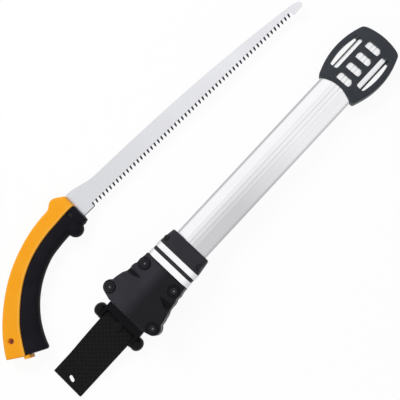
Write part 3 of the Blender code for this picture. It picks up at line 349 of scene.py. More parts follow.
def drum(name, radius, low, high, at, sides, axis="z"):
    """A round bar between low and high along Z or Y, left open for more work."""
    turn = (pi / 2, 0, 0) if axis == "y" else (0, 0, 0)
    centre = (low + high) / 2
    place = (at[0], centre, at[1]) if axis == "y" else (at[0], at[1], centre)
    return new_piece(bpy.ops.mesh.primitive_cylinder_add, name, vertices=sides, radius=radius,
                     depth=high - low, location=place, rotation=turn)


def drum_tool(radius, low, high, at, sides=48, axis="z"):
    drum("tool", radius, low, high, at, sides, axis)
    return close()


def box_tool(low, high):
    """A plain block between two corners."""
    size = [b - a for a, b in zip(low, high)]
    centre = [(a + b) / 2 for a, b in zip(low, high)]
    new_piece(bpy.ops.mesh.primitive_cube_add, "tool", size=1, location=centre, scale=size)
    return close()


def solid_tool(points, step):
    solid("tool", points, step)
    return close()


def turned(name, profile, axis="z", at=(0.0, 0.0, 0.0)):
    """A piece turned about Z or Y from its profile, radius and height, which starts and ends on the axis."""
    if axis == "z":
        points = [(at[0] + r, at[1], at[2] + h) for r, h in profile]
    else:
        points = [(at[0] + r, at[1] + h, at[2]) for r, h in profile]
    traced(name, points)
    spin_axis = (0, 0, 1) if axis == "z" else (0, 1, 0)
    bpy.ops.mesh.spin(steps=48, angle=2 * pi, center=at, axis=spin_axis)
    return close()


def ball(radius, half_height, at, step):
    """A ball drawn out along Z, from its two radii."""
    turns = [radians(t) for t in range(0, 181, step)]
    return turned("tool", [(radius * sin(t), half_height * cos(t)) for t in turns], at=(*at, 0.0))


# ---- finishes ----
def add(tree, kind, settings=None, **inputs):
    """A node with its settings and inputs; an input that is another node's output is linked."""
    node = tree.nodes.new("ShaderNode" + kind)
    for setting, value in (settings or {}).items():
        setattr(node, setting, value)
    for key, value in inputs.items():
        numbered = key[0] == "n" and key[1:].isdigit()
        socket = node.inputs[int(key[1:]) if numbered else key.replace("_", " ")]
        if isinstance(value, bpy.types.NodeSocket):
            tree.links.new(value, socket)
        else:
            socket.default_value = value
    return node


def new_finish(name, colour, roughness, **extra):
    """A material, its node tree and its shader."""
    material = bpy.data.materials.new(name)
    material.use_nodes = True
    material.diffuse_color = (*colour, 1)
    tree = material.node_tree
    shader = tree.nodes["Principled BSDF"]
    shader.inputs["Base Color"].default_value = (*colour, 1)
    shader.inputs["Roughness"].default_value = roughness
    for key, value in extra.items():
        shader.inputs[key.replace("_", " ")].default_value = value
    return material, tree, shader


def own_frame(tree, where, scale=(1, 1, 1)):
    """Object coordinates turned and centred on a piece's own frame, then stretched."""
    coords = add(tree, "TexCoord")
    back = where.inverted()
    turned_back = add(tree, "Mapping", Vector=coords.outputs["Object"], Location=back.to_translation(),
                      Rotation=back.to_euler("XYZ"))
    if scale == (1, 1, 1):
        return turned_back.outputs[0]
    return add(tree, "Mapping", Vector=turned_back.outputs[0], Scale=scale).outputs[0]


def noise(tree, vector, scale, detail=3.0, roughness=0.5):
    node = add(tree, "TexNoise", Vector=vector, Scale=scale, Detail=detail, Roughness=roughness)
    return node.outputs["Fac"]


def spread(tree, value, low, high, to_low=0.0, to_high=1.0):
    """Maps a value from one range onto another, kept inside it."""
    node = add(tree, "MapRange", Value=value)
    node.inputs["From Min"].default_value = low
    node.inputs["From Max"].default_value = high
    node.inputs["To Min"].default_value = to_low
    node.inputs["To Max"].default_value = to_high
    return node.outputs[0]


def fade(tree, value, low, high):
    """From 1 at the low end to 0 at the high one."""
    return spread(tree, value, low, high, 1.0, 0.0)


def blend_colours(tree, share, first, second):
    node = add(tree, "Mix", {"data_type": "RGBA"})
    for socket, value in ((node.inputs[0], share), (node.inputs[6], first), (node.inputs[7], second)):
        if isinstance(value, bpy.types.NodeSocket):
            tree.links.new(value, socket)
        elif isinstance(value, float):
            socket.default_value = value
        else:
            socket.default_value = (*value, 1)
    return node.outputs[2]


def maths(tree, operation, first, second=0.0):
    return add(tree, "Math", {"operation": operation}, n0=first, n1=second).outputs[0]


def times(tree, first, second):
    return maths(tree, "MULTIPLY", first, second)


def minus(tree, first, second):
    return maths(tree, "SUBTRACT", first, second)


def bump(tree, shader, height, strength, distance):
    node = add(tree, "Bump", Height=height, Strength=strength, Distance=distance)
    tree.links.new(node.outputs[0], shader.inputs["Normal"])


def recess_shade(tree, shade_reach):
    """Where painted shade falls: how deep a spot lies in a groove or corner of its own piece, from 0 to 1."""
    node = add(tree, "AmbientOcclusion", {"samples": 8, "only_local": True}, Distance=shade_reach)
    return fade(tree, node.outputs["AO"], 0.45, 0.9)


def moulded(name, colour, wear_and_glint, roughness, where, grain=1500.0, depth=0.00005, gloss=0.2, shade_reach=0.0):
    """Moulded plastic: a fine grain, faint clouds of colour, handling shine and painted shade in its grooves
    and corners.
    """
    material, tree, shader = new_finish(name, colour, roughness, Specular_IOR_Level=gloss)
    vector = own_frame(tree, where)
    clouds = noise(tree, vector, 38.0, 4.0, 0.6)
    base = blend_colours(tree, spread(tree, clouds, 0.4, 0.75), colour, wear_and_glint)
    if shade_reach:
        # painted shade: the piece's own grooves and corners darken to a quarter of its colour
        base = blend_colours(tree, recess_shade(tree, shade_reach), base, tuple(0.25 * part for part in colour))
    tree.links.new(base, shader.inputs["Base Color"])
    rubbed = spread(tree, noise(tree, vector, 90.0), 0.3, 0.7, roughness - 0.07, roughness + 0.07)
    tree.links.new(rubbed, shader.inputs["Roughness"])
    bump(tree, shader, noise(tree, vector, grain, 2.0), 0.35, depth)
    return material


def metal(name, colour, shade, roughness, where, stretch):
    """Bare metal with a fine grain drawn out along one way, and soft clouds in its colour."""
    material, tree, shader = new_finish(name, colour, roughness, Metallic=1.0)
    vector = own_frame(tree, where, stretch)
    lines = noise(tree, vector, 900.0, 2.0)
    bands = noise(tree, vector, 225.0, 2.0)
    clouds = noise(tree, own_frame(tree, where), 30.0, 3.0)
    both = maths(tree, "ADD", times(tree, bands, 0.6), times(tree, clouds, 0.4))
    tree.links.new(blend_colours(tree, spread(tree, both, 0.35, 0.65), shade, colour),
                   shader.inputs["Base Color"])
    rubbed = spread(tree, lines, 0.3, 0.7, roughness - 0.03, roughness + 0.03)
    tree.links.new(rubbed, shader.inputs["Roughness"])
    bump(tree, shader, lines, 0.25, 0.00001)
    return material


def place_of(tree, where):
    """A spot's X, Y and Z in a piece's own frame, in metres."""
    return add(tree, "SeparateXYZ", Vector=own_frame(tree, where)).outputs


def lay_over(material, share, colour):
    """Lays a colour over a finish, as far as the share goes."""
    tree = material.node_tree
    socket = tree.nodes["Principled BSDF"].inputs["Base Color"]
    tree.links.new(blend_colours(tree, share, socket.links[0].from_socket, colour), socket)


def light_and_shade_on_teeth(material):
    """Teeth with a painted highlight on the bevel faces either side of a dark middle, which is partly the
    hardening's own dark tint and partly painted shade of a facet turned from the light, and a painted shade
    line under the heel.
    """
    tree = material.node_tree
    x, y, _ = place_of(tree, SAW)
    start = spread(tree, x, 0.0182, 0.0184)
    toothed = times(tree, start, fade(tree, x, 0.3650, 0.3656))
    lean = minus(tree, minus(tree, x, HEEL_END / 1000), times(tree, y, 0.2))
    from_point = maths(tree, "PINGPONG", lean, TOOTH_PITCH / 2000)
    middle_of = fade(tree, from_point, 0.0011, 0.0014)
    # painted highlight: the teeth's bevel faces are laid over in near white
    bevel_highlight = times(tree, toothed, fade(tree, y, 0.0049, 0.0053))
    lay_over(material, bevel_highlight, (0.92, 0.92, 0.95))
    # the dark middle of each tooth: the hardening's own tint together with painted shade of a facet turned
    # from the light
    dark = times(tree, toothed, fade(tree, y, 0.0056, 0.0062))
    # painted shade: a dark line along the bottom edge of the heel
    heel = minus(tree, fade(tree, y, 0.0006, 0.0009), start)
    dark = maths(tree, "MAXIMUM", times(tree, dark, middle_of), heel)
    lay_over(material, dark, (0.04, 0.04, 0.046))


def darken_towards_end(material, where, along, across, colour):
    """Darkens a metal near the mouth or the handle, clearing along the piece and towards its upper side."""
    tree = material.node_tree
    x, y, _ = place_of(tree, where)
    near = fade(tree, x, *along)
    lay_over(material, times(tree, near, fade(tree, y, *across)), colour)


def shade_tube_lines(material):
    """Painted shade: grey in the tube's drawn grooves and along its folds and edges."""
    tree = material.node_tree
    across = place_of(tree, SCABBARD)[1]
    share = 0.0
    for at, width, strength in ((FINE_GROOVE, 0.8, 0.3), (-FINE_GROOVE, 0.8, 0.3), (INNER_FOLD, 0.7, 0.2),
                                (-INNER_FOLD, 0.7, 0.2), (-23.6, 2.6, 0.75), (22.6, 3.2, 0.8)):
        away = maths(tree, "ABSOLUTE", minus(tree, across, at / 1000))
        line = spread(tree, away, width * 0.0004, width * 0.001, strength, 0.0)
        share = maths(tree, "MAXIMUM", share, line)
    lay_over(material, share, (0.42, 0.42, 0.45))


def shade_bands(material):
    """Painted shade: the bands turn grey where they fold down the sides."""
    tree = material.node_tree
    across = maths(tree, "ABSOLUTE", place_of(tree, SCABBARD)[1])
    lay_over(material, spread(tree, across, 0.0255, 0.0315, 0.0, 0.75), (0.5, 0.5, 0.52))


def shade_mouth(material):
    """Painted shade on the mouth: dark on its neck and lugs, its lower half and in its scallops."""
    tree = material.node_tree
    x, y, z = place_of(tree, SCABBARD)
    aside = maths(tree, "ABSOLUTE", y)
    # painted shade: the low neck and lugs under the case
    neck = times(tree, fade(tree, x, -0.001, 0.003), fade(tree, z, -0.013, -0.011))
    lay_over(material, neck, (0.003, 0.003, 0.004))
    # painted shade: the lower half of the domed front face, turned from the light
    lower = times(tree, spread(tree, y, -0.006, 0.008, 0.85, 0.0), spread(tree, z, 0.002, 0.008))
    lower = times(tree, lower, fade(tree, x, 0.0795, 0.0815))
    lay_over(material, lower, (0.0090, 0.0086, 0.0106))
    # painted shade: the floors of the pointed scallops
    out = spread(tree, aside, 0.0145, 0.030)
    middle_line = minus(tree, 0.0470, times(tree, out, 0.0028))
    off = maths(tree, "ABSOLUTE", minus(tree, x, middle_line))
    beyond = minus(tree, off, times(tree, out, 0.0027))
    pocket = times(tree, fade(tree, beyond, -0.0005, 0.0003), spread(tree, z, 0.005, 0.008))
    pocket = times(tree, pocket, spread(tree, aside, 0.0140, 0.0150))
    lay_over(material, pocket, (0.0048, 0.0042, 0.0058))


def paint_socket_glints(material):
    """Painted highlight: a bright spot on the floor of each mouth bolt's socket."""
    tree = material.node_tree
    x, y, z = place_of(tree, SCABBARD)
    aside = maths(tree, "ABSOLUTE", y)
    for along, across in BOLTS[::2]:
        off = [minus(tree, x, along / 1000), minus(tree, aside, across / 1000)]
        off = maths(tree, "ADD", *(times(tree, way, way) for way in off))
        # painted highlight: a small bright spot in the middle of each socket
        wear_and_glint = fade(tree, off, 0.7e-6, 2.2e-6)
        wear_and_glint = times(tree, wear_and_glint, spread(tree, z, 0.01, 0.011))
        lay_over(material, wear_and_glint, (0.15, 0.15, 0.16))


def woven(name, dark, light, pitch):
    """Webbing: crossing cords that follow the strap's own length and width."""
    material, tree, shader = new_finish(name, dark, 0.8, Specular_IOR_Level=0.12)
    place = add(tree, "SeparateXYZ", Vector=add(tree, "UVMap", {"uv_map": "weave"}).outputs[0]).outputs
    cords = []
    for size in (pitch, pitch * 3):
        waves = [maths(tree, "SINE", times(tree, place[i], pi / size)) for i in (0, 1)]
        cords.append(spread(tree, times(tree, *waves), -0.9, 0.9))
    fibres = spread(tree, noise(tree, own_frame(tree, HANGER), 700.0, 3.0), 0.25, 0.75, 0.6, 1.0)
    height = times(tree, cords[0], fibres)
    tree.links.new(blend_colours(tree, times(tree, fibres, cords[1]), dark, light),
                   shader.inputs["Base Color"])
    bump(tree, shader, height, 0.5, 0.0003)
    return material


make_camera()
make_floor()
make_light()
bpy.context.scene.view_settings.view_transform = "Standard"

SHELL = moulded("case_plastic", (0.0290, 0.0285, 0.0350), (0.0370, 0.0362, 0.0450), 0.42, SCABBARD,
                gloss=0.09, shade_reach=0.006)
CAP = moulded("cap_plastic", (0.0310, 0.0355, 0.0420), (0.0420, 0.0465, 0.0550), 0.50, SCABBARD,
              grain=1100.0, depth=0.00008)
RUBBER = moulded("roller_rubber_finish", (0.016, 0.016, 0.017), (0.024, 0.024, 0.024), 0.75, SCABBARD)
LACQUER = moulded("hanger_lacquer", (0.005, 0.005, 0.006), (0.009, 0.009, 0.010), 0.32, HANGER, gloss=0.09)
ALUMINIUM = metal("tube_aluminium", (0.94, 0.94, 0.955), (0.90, 0.90, 0.92), 0.26, SCABBARD, (0.02, 1, 1))
BAND = metal("band_metal", (0.985, 0.985, 0.99), (0.93, 0.93, 0.95), 0.27, SCABBARD, (1, 0.05, 0.05))
BLACKENED = metal("blackened_steel", (0.034, 0.034, 0.038), (0.022, 0.022, 0.025), 0.30, SCABBARD, (1, 1, 1))
BLADE = metal("blade_steel", (0.82, 0.825, 0.86), (0.79, 0.79, 0.83), 0.27, SAW, (0.3, 0.05, 1))
ORANGE = moulded("orange_handle", (0.97, 0.385, 0.012), (1.0, 0.42, 0.020), 0.48, SAW,
                 gloss=0.15, shade_reach=0.002)
GRIP = moulded("grip_rubber", (0.0075, 0.0068, 0.0095), (0.0115, 0.0105, 0.0140), 0.55, SAW,
               gloss=0.07, shade_reach=0.003)
WEBBING = woven("belt_webbing", (0.0055, 0.0055, 0.006), (0.0125, 0.012, 0.013), 0.0012)
THREAD = moulded("sewing_thread", (0.012, 0.012, 0.013), (0.020, 0.020, 0.021), 0.6, HANGER)
# the blade is laid darker towards the handle
darken_towards_end(BLADE, SAW, (0.04, 0.26), (1.0, 1.1), (0.70, 0.705, 0.735))
light_and_shade_on_teeth(BLADE)
# painted shade: the tube is laid darker near the mouth and on its lower side
darken_towards_end(ALUMINIUM, SCABBARD, (0.19, 0.30), (-0.008, 0.010), (0.645, 0.645, 0.66))
shade_tube_lines(ALUMINIUM)
shade_bands(BAND)
shade_mouth(SHELL)
paint_socket_glints(BLACKENED)
# painted shade on the rounded outer edge (rim) and a painted highlight beside the seam
for part, tint in (("rim", (0.68, 0.36, 0.07)), ("seam_highlight", (1.0, 0.54, 0.10))):
    lay_over(ORANGE, add(ORANGE.node_tree, "Attribute", {"attribute_name": part}).outputs["Fac"], tint)

BY_NODE = {"guide_roller_front": RUBBER, "guide_roller_back": RUBBER}
for name, node in NODES.items():
    node.data.materials.clear()
    node.data.materials.append(BY_NODE.get(name, BLACKENED))


# ---- saw blade ----
def tang_line(radius):
    """A side of the tang, from the blade's shoulder to its end."""
    start = -asin((SHOULDER - SEAM_CENTRE[0]) / radius)
    return [handle_point(start + (TANG_END - start) * i / 14, radius) for i in range(15)]


def ease(t):
    """Goes smoothly from 0 to 1 as t does."""
    return 0.5 - 0.5 * cos(pi * min(max(t, 0.0), 1.0))


def spine_height(x):
    """The blade's back over its tooth line."""
    return 29.2 + 7.6 * (1 - ease(x / 46)) - 19.6 * (x / 384) ** 2.55


def make_blade():
    """Flat steel with ground teeth that are set left and right, and a tang that runs into the handle."""
    edge = [(SHOULDER, 0.0), (HEEL_END, 0.0)]
    for i in range(TEETH):
        x = FIRST_TOOTH + i * TOOTH_PITCH
        if i > 0:
            edge += [(x - 2.7, TOOTH_DEPTH), (x - 1.3, 0.0)]
        edge.append((x + 2.7, TOOTH_DEPTH))
    edge.append((366.4, -0.75))
    tip = arc((379.7, 4.3), 4.3, -90, 45, 10)
    back = [375.4 * (1 - i / 40) + SHOULDER * i / 40 for i in range(41)]
    back = [(x, spine_height(x)) for x in back]
    tang = tang_line(SEAM_RADIUS + TANG_HALF) + list(reversed(tang_line(SEAM_RADIUS - TANG_HALF)))
    blade = solid("blade", level(edge + tip + back + tang, -BLADE_HALF), (0, 0, 2 * BLADE_HALF))
    bpy.ops.mesh.bisect(plane_co=(0, TOOTH_DEPTH, 0), plane_no=(0, 1, 0), threshold=0.01)

    def is_point(corner):
        return corner.y < 0.6 and 20 < corner.x < 366

    for side in (1, -1):
        pick("VERT", lambda c: is_point(c) and c.z * side > 0)
        bpy.ops.transform.translate(value=(0, 0, -0.55 * side))
    for first in (0, 1):
        pick("VERT", lambda c: is_point(c) and round((c.x - HEEL_END) / TOOTH_PITCH) % 2 == first)
        bpy.ops.transform.translate(value=(0, 0, 0.22 - 0.44 * first))
    close()
    for at, bore in ((BLADE_BOLT, 2.6), (handle_point(radians(27), SEAM_RADIUS - 4.0), 2.3)):
        cut(blade, drum_tool(bore, -5, 5, at, 32))
    place_piece(blade, "saw", BLADE, ["saw_blade"], smooth=20)


# ---- saw handle ----
def seam_shift(angle):
    """How far off the tang's own arc the two colours meet: outside it at the front, inside it at the butt."""
    rear = 2.9 * ease((angle - radians(19)) / radians(30)) + 1.0 * ease((angle - radians(50)) / radians(10))
    return 1.7 - 4.0 * ease((angle + radians(12)) / radians(16)) - rear


def spine_width(angle):
    """Tang arc to the outer edge of the orange part: a wide butt, a waist and the thumb hump."""
    turn = degrees(angle)
    width = 18.6 + 1.1 * ease((22 - turn) / 22) + 2.4 * ease((turn - 36) / 30)
    ahead = -2.7 - turn
    if ahead < 0:
        return width + 7.2 * ease(1 + ahead / 4.1)
    return width - 0.4 + 7.6 * ease(1 - ahead / 6.2)


def grip_width(angle):
    """Tang arc to the palm edge of the black grip, which swells towards the butt and has a round heel."""
    turn = degrees(angle)
    rear = max(turn - 17, 0.0)
    swell = 0.7 * ease((16 - turn) / 8) + 0.10 * rear + 0.0041 * rear ** 2
    return 21.6 + swell - 2.6 * max((turn - 62.6) / 1.4, 0.0) ** 2


def swept(name, profile, start, end, steps):
    """A bar swept about the middle of the seam's arc; its profile is distance from the seam and height."""
    points = [(*handle_point(start, SEAM_RADIUS + s), z) for s, z in profile]
    piece = drawn(name, points)
    bpy.ops.mesh.spin(steps=steps, angle=start - end, center=(*SEAM_CENTRE, 0), axis=(0, 0, 1))
    select_all()
    bpy.ops.mesh.remove_doubles(threshold=0.001)
    bpy.ops.mesh.normals_make_consistent(inside=False)
    return piece


def widen(sign, fixed, start, end, steps, width):
    """Moves the outer part of each ring of the open piece, so that it is as wide there as the handle is."""
    half = abs(end - start) / steps / 2
    for i in range(steps + 1):
        angle = start + (end - start) * i / steps
        side = Vector((cos(angle), sin(angle), 0))

        def on_ring(corner):
            out = Vector((corner.x - SEAM_CENTRE[0], corner.y - SEAM_CENTRE[1], 0))
            from_seam = (out.length - SEAM_RADIUS) * sign
            return from_seam > fixed and abs(out.dot(side)) < half * out.length

        pick("VERT", on_ring)
        outward = Vector((-sin(angle), cos(angle), 0))
        bpy.ops.transform.translate(value=outward * sign * width(angle))


def handle_blank(name, sign, spare, narrow, edge_round, end, width):
    """One colour of the handle, swept, widened ring by ring and cut off flat at the front."""
    half = 12.0
    rounds = [radians(t) for t in range(0, 91, 10)]
    upper = [(-spare, half)]
    upper += [(narrow - edge_round + edge_round * sin(t), half * cos(t) ** 0.85) for t in rounds]
    profile = [(sign * s, z) for s, z in upper] + [(sign * s, -z) for s, z in reversed(upper[:-1])]
    start = radians(-13)
    steps = 110
    piece = swept(name, profile, start, end, steps)
    widen(sign, narrow - edge_round - 1.0, start, end, steps, lambda a: width(a) - narrow)
    select_all()
    bpy.ops.mesh.bisect(plane_co=(-0.05, 0, 0), plane_no=(1, 0, 0), clear_outer=True, use_fill=True)
    close()
    return piece


def melt(piece, turns):
    """Runs the joined lumps of a rubber or plastic moulding into one another."""
    apply_modifier(piece, "REMESH", mode="VOXEL", voxel_size=0.75, use_smooth_shade=True)
    apply_modifier(piece, "SMOOTH", factor=0.5, iterations=turns)


def seam_tool(sign):
    """Cuts a handle part back to the seam, with a small chamfer on both faces."""
    profile = [(16.0, -20.0), (-9.05, -20.0), (-0.15, -11.1), (-0.15, 11.1), (-9.05, 20.0), (16.0, 20.0)]
    run = (radians(-18), radians(72), 90)
    swept("tool", [(s * sign, z) for s, z in profile], *run)
    widen(1, -60.0, *run, seam_shift)
    return close()


def tang_tool():
    """The tang's bed in the handle, with some room around it."""
    wide = TANG_HALF + 0.3
    thick = BLADE_HALF + 0.3
    profile = [(-wide, -thick), (wide, -thick), (wide, thick), (-wide, thick)]
    swept("tool", profile, radians(-14), radians(34.2), 48)
    return close()


def make_spine():
    """Orange rubber with a slanting butt, a lip and a lanyard hole; attributes mark a painted shade on its
    rounded outer edge and a painted highlight beside the seam.
    """
    spine = handle_blank("orange_spine", 1, 11.0, 12.0, 5.0, radians(65.4), spine_width)
    seam_end = Vector((*handle_point(radians(64.6), SEAM_RADIUS - 5.7), 0))
    outer_end = Vector((*handle_point(radians(63.6), SEAM_RADIUS + 22.0), 0))
    run = (outer_end - seam_end).normalized()
    bpy.ops.object.mode_set(mode="EDIT")
    select_all()
    bpy.ops.mesh.bisect(plane_co=seam_end, plane_no=(-run.y, run.x, 0), clear_outer=True, use_fill=True)
    close()
    melt(spine, 12)
    cut(spine, seam_tool(-1))
    lip_profile = [(-3.5, -10.6), (-3.5, 10.6), (-11.0, 10.6), (-11.0, -10.6)]
    lip = swept("lip", lip_profile, radians(64.11), radians(65.7), 3)
    close()
    soften(lip, 0.5)
    join(spine, lip)
    hole = handle_point(radians(56.9), SEAM_RADIUS + 8.0)
    spool = [(0.0, 13.0), (5.7, 13.0), (3.5, 10.8), (3.5, -10.8), (5.7, -13.0), (0.0, -13.0)]
    cut(spine, tang_tool(), turned("tool", spool, at=(*hole, 0.0)))
    # painted highlight beside the seam and painted shade on the side rounding, kept as attributes for the
    # finish
    highlight_layer = spine.data.attributes.new("seam_highlight", "FLOAT", "POINT")
    rim = spine.data.attributes.new("rim", "FLOAT", "POINT")
    for i, corner in enumerate(spine.data.vertices):
        out = Vector((corner.co.x - SEAM_CENTRE[0], corner.co.y - SEAM_CENTRE[1]))
        from_seam = out.length - SEAM_RADIUS - seam_shift(asin(-out.x / out.length))
        on_face = abs(corner.co.z) > 9
        highlight_layer.data[i].value = 0.6 * exp(-((from_seam - 1.9) / 0.9) ** 2) if on_face else 0.0
        rim.data[i].value = 0.4 * ease((10.8 - abs(corner.co.z)) / 4) if from_seam > 4 else 0.0
    place_piece(spine, "saw", ORANGE, ["handle_spine"], smooth=40)


def make_grip():
    """Black rubber with a small nose at the front and a finger stop behind it."""
    grip = handle_blank("palm_rubber", -1, 4.0, 15.0, 14.0, radians(64), grip_width)
    stop = ball(10.7, 11.6, handle_point(radians(-2.7), 143.7), 6)
    nose = ball(4.8, 9.4, (-5.9, -2.9), 9)
    bridge_outline = [(-0.1, 6.0), (-12.0, 6.0), (-12.0, -2.0), (-6.0, -4.2), (-0.1, -2.4)]
    bridge = solid("tool", level(bridge_outline, -9.6), (0, 0, 19.2))
    round_edges(lambda c: abs(c.z) > 9.5, 1.5, 3)
    close()
    join(grip, stop, nose, bridge)
    melt(grip, 9)
    cut(grip, seam_tool(1), tang_tool())
    cut(grip, drum_tool(2.6, -20, 20, BLADE_BOLT), drum_tool(3.9, 8.1, 20, BLADE_BOLT),
        drum_tool(4.9, -20, -6.8, BLADE_BOLT, 6))
    place_piece(grip, "saw", GRIP, ["palm_grip"], smooth=40)


# ---- bolts ----
def make_bolt(name, at, radius, head_radius, head, top, end, body):
    """A socket head bolt with a domed rim, a chamfered hexagon socket and a cleaned up end."""
    under = top - head
    across = min(4.0, head_radius)
    dish = across / 2 + 0.1
    profile = [(0.0, top - 0.4), (dish, top - 0.4), (dish + 0.4, top), (head_radius - 0.75, top),
               (head_radius - 0.3, top - 0.12), (head_radius - 0.08, top - 0.4),
               (head_radius, top - 0.8), (head_radius, under), (radius, under), (radius, end + 0.4),
               (radius - 0.4, end), (0.0, end)]
    bolt = turned(name + "_head", profile, at=(*at, 0.0))
    depth = min(2.2, head - 0.9)
    cut(bolt, drum_tool(across / 3 ** 0.5, top - depth, top + 2, at, 6))
    place_piece(bolt, body, BLACKENED, [name], smooth=30)


def make_bolts():
    for i, at in enumerate(BOLTS, start=1):
        make_bolt(f"mouth_bolt_{i}", at, 2.5, 4.3, 4.5, 15.7, -14.0, "scabbard")
    for i, at in enumerate(COLLAR_SCREWS, start=1):
        make_bolt(f"collar_screw_{i}", at, 1.5, 3.4, 2.4, 12.2, -3.8, "scabbard")
    make_bolt("blade_bolt", BLADE_BOLT, 2.3, 3.6, 2.2, 10.6, -10.6, "saw")


# ---- scabbard mouth ----
def case_outline():
    """The mouth from above: bulged round the bolts, with a waist between them."""
    half = [(1.4, 27.0)] + arc((13.6, 36.0), 9.4, 165, 42, 20)
    half += [(22.6, 40.5), (27.0, 40.1), (36.5, 37.8), (41.5, 35.7), (46.0, 34.9), (51.0, 35.0), (54.8, 34.2)]
    half += [(57.4, 33.0)] + arc(BOLTS[2], 8.9, 104, 66, 5) + [(70.5, 31.9), (74.6, 31.9)]
    return mirrored(half)


def tube_outline(inset):
    """Outline of the flat six-sided tube in Y and Z, moved in by inset."""
    edge = 3.5 - inset
    rounds = [radians(t) for t in range(90, -1, -10)]
    points = [(OUTER_FOLD + edge * sin(t), (5.0 - inset) * cos(t)) for t in rounds]
    points.append((INNER_FOLD, 8.0 - inset))
    upper = points + [(-y, z) for y, z in reversed(points)]
    return upper + [(y, -z) for y, z in reversed(upper[1:-1])]


def case_half(name, sign):
    """Half of the mouth case with its spigot and ridge for the bands."""
    shell = solid(name, level(case_outline(), sign * SPLIT), (0, 0, sign * 10.35))
    round_over(lambda normal: normal.z * sign > 0.9, 3.5)
    close()
    spigot = solid_tool(upright(rounded_box(30.2, 11.4, 8.0), 68.0), (28.5, 0, 0))
    ridge = solid("tool", upright(rounded_box(31.6, 12.8, 10.0), 83.7), (4.0, 0, 0))
    round_edges(lambda c: True, 0.5, 2)
    close()
    join(spigot, ridge)
    low, high = sorted((sign * SPLIT, sign * 60))
    combine(spigot, "INTERSECT", box_tool((0, -90, low), (150, 90, high)))
    return join(shell, spigot)


def hollow_case(shell):
    """The blade's way in, the room for the tube and the rollers, and the bolt holes."""
    throat = [(-9, 8.0), (0, 8.0), (6, 5.0), (67.8, 5.0)]
    cut(shell, solid_tool(sideways(mirrored(throat), -19.35), (0, 38.7, 0)),
        solid_tool(upright(tube_outline(ROOM), 67.2), (60, 0, 0)),
        box_tool((18.2, -17.3, -10.35), (27.8, 17.3, 10.35)))
    for at in BOLTS:
        cut(shell, drum_tool(2.8, -40, 40, at, 32))


def pointed_tool(tip, end, radius):
    """A cone that cuts a scallop, from its tip to the middle of its open end."""
    tip, end = Vector(tip), Vector(end)
    run = tip - end
    new_piece(bpy.ops.mesh.primitive_cone_add, "tool", vertices=64, radius1=radius, radius2=0.0,
              depth=run.length, location=(tip + end) / 2, rotation=run.to_track_quat("Z", "Y").to_euler())
    return close()


def make_front_shell():
    """Front half: a gently domed plain face, bosses in round moats and pointed scallops at the sides."""
    shell = case_half("mouth_front", 1)
    new_piece(bpy.ops.mesh.primitive_uv_sphere_add, "tool", segments=64, ring_count=32, radius=1.0,
              location=(38.0, 0.0, 9.0), scale=(34.0, 26.0, 5.9))
    join(shell, close())
    for side in (1, -1):
        cut(shell, pointed_tool((47.0, side * 13.5, 14.8), (43.4, side * 41.0, 11.8), 7.4),
            pointed_tool((52.6, side * 18.0, 15.3), (51.0, side * 41.0, 15.4), 4.8))
    for at in BOLTS:
        cut(shell, drum_tool(8.1, 12.4, 30, at, 64))
        boss = drum("tool", 6.1, 9.0, 14.9, at, 64)
        round_edges(lambda c: c.z > 14.8, 0.6, 3)
        close()
        join(shell, boss)
        cut(shell, drum_tool(4.9, 10.9, 30, at, 48))
    hollow_case(shell)
    soften(shell, 0.25, 2, 50)
    place_piece(shell, "scabbard", SHELL, ["mouth_front_shell"])


def make_back_shell():
    """Back half: the neck plate and two lugs that carry the hanger's bar, and hexagon seats for the nuts."""
    shell = case_half("mouth_back", -1)
    neck = box_tool((-11.3, -28.2, -18.0), (35.0, 28.2, -13.0))
    soften(neck, 0.6, 3)
    join(shell, neck)
    for side in (1, -1):
        eye = arc(BAR_AT, 9.3, 75, 300, 32)
        lug = solid("tool", sideways(eye + [(2.5, -18.0), (2.5, -14.0)], side * 24.0), (0, side * 4.2, 0))
        round_edges(lambda c: abs(c.y) > 28.0, 0.8, 3)
        close()
        join(shell, lug)
    cut(shell, drum_tool(5.0, -60, 60, BAR_AT, 48, "y"))
    button_sweep = hypot(6.4, BUTTON_FACE + 0.77) + 0.6
    cut(shell, drum_tool(button_sweep, -7.0, 7.0, BAR_AT, 48, "y"))
    hollow_case(shell)
    for at in BOLTS:
        cut(shell, drum_tool(5.2, -40, -10.2, at, 6))
    soften(shell, 0.25, 2, 50)
    place_piece(shell, "scabbard", SHELL, ["mouth_back_shell"])


# ---- tube, bands and collar ----
def make_tube():
    """Drawn aluminium with crisp folds and two fine grooves each side."""
    tube = solid("scabbard_tube_shell", upright(tube_outline(0.0), 67.5), (384.5, 0, 0))
    pick("EDGE", lambda c: abs(c.y) < 8 or abs(abs(c.y) - OUTER_FOLD) < 0.01)
    bpy.ops.mesh.bevel(offset=0.5, segments=2, affect="EDGES")
    close()
    cut(tube, solid_tool(upright(tube_outline(1.5), 0), (600, 0, 0)))
    for side in (1, -1):
        for y in (FINE_GROOVE, -FINE_GROOVE):
            groove = [(-0.8, 8.2), (-0.3, 7.75), (0.3, 7.75), (0.8, 8.2)]
            groove = [(y + across, side * z) for across, z in groove]
            cut(tube, solid_tool(upright(groove, 0), (600, 0, 0)))
    place_piece(tube, "scabbard", ALUMINIUM, ["scabbard_tube"], smooth=12)


def make_bands():
    """Two bright rings on the spigot."""
    for i, (at, wide) in enumerate(((74.9, 8.5), (88.0, 7.6)), start=1):
        band = solid(f"bright_band_{i}", upright(rounded_box(32.2, 13.4, 10.0, 12), at), (wide, 0, 0))
        round_edges(lambda c: True, 0.7, 4)
        close()
        cut(band, solid_tool(upright(rounded_box(30.5, 11.7, 8.3, 12), 0), (300, 0, 0)))
        place_piece(band, "scabbard", BAND, [f"silver_band_{i}"], smooth=40)


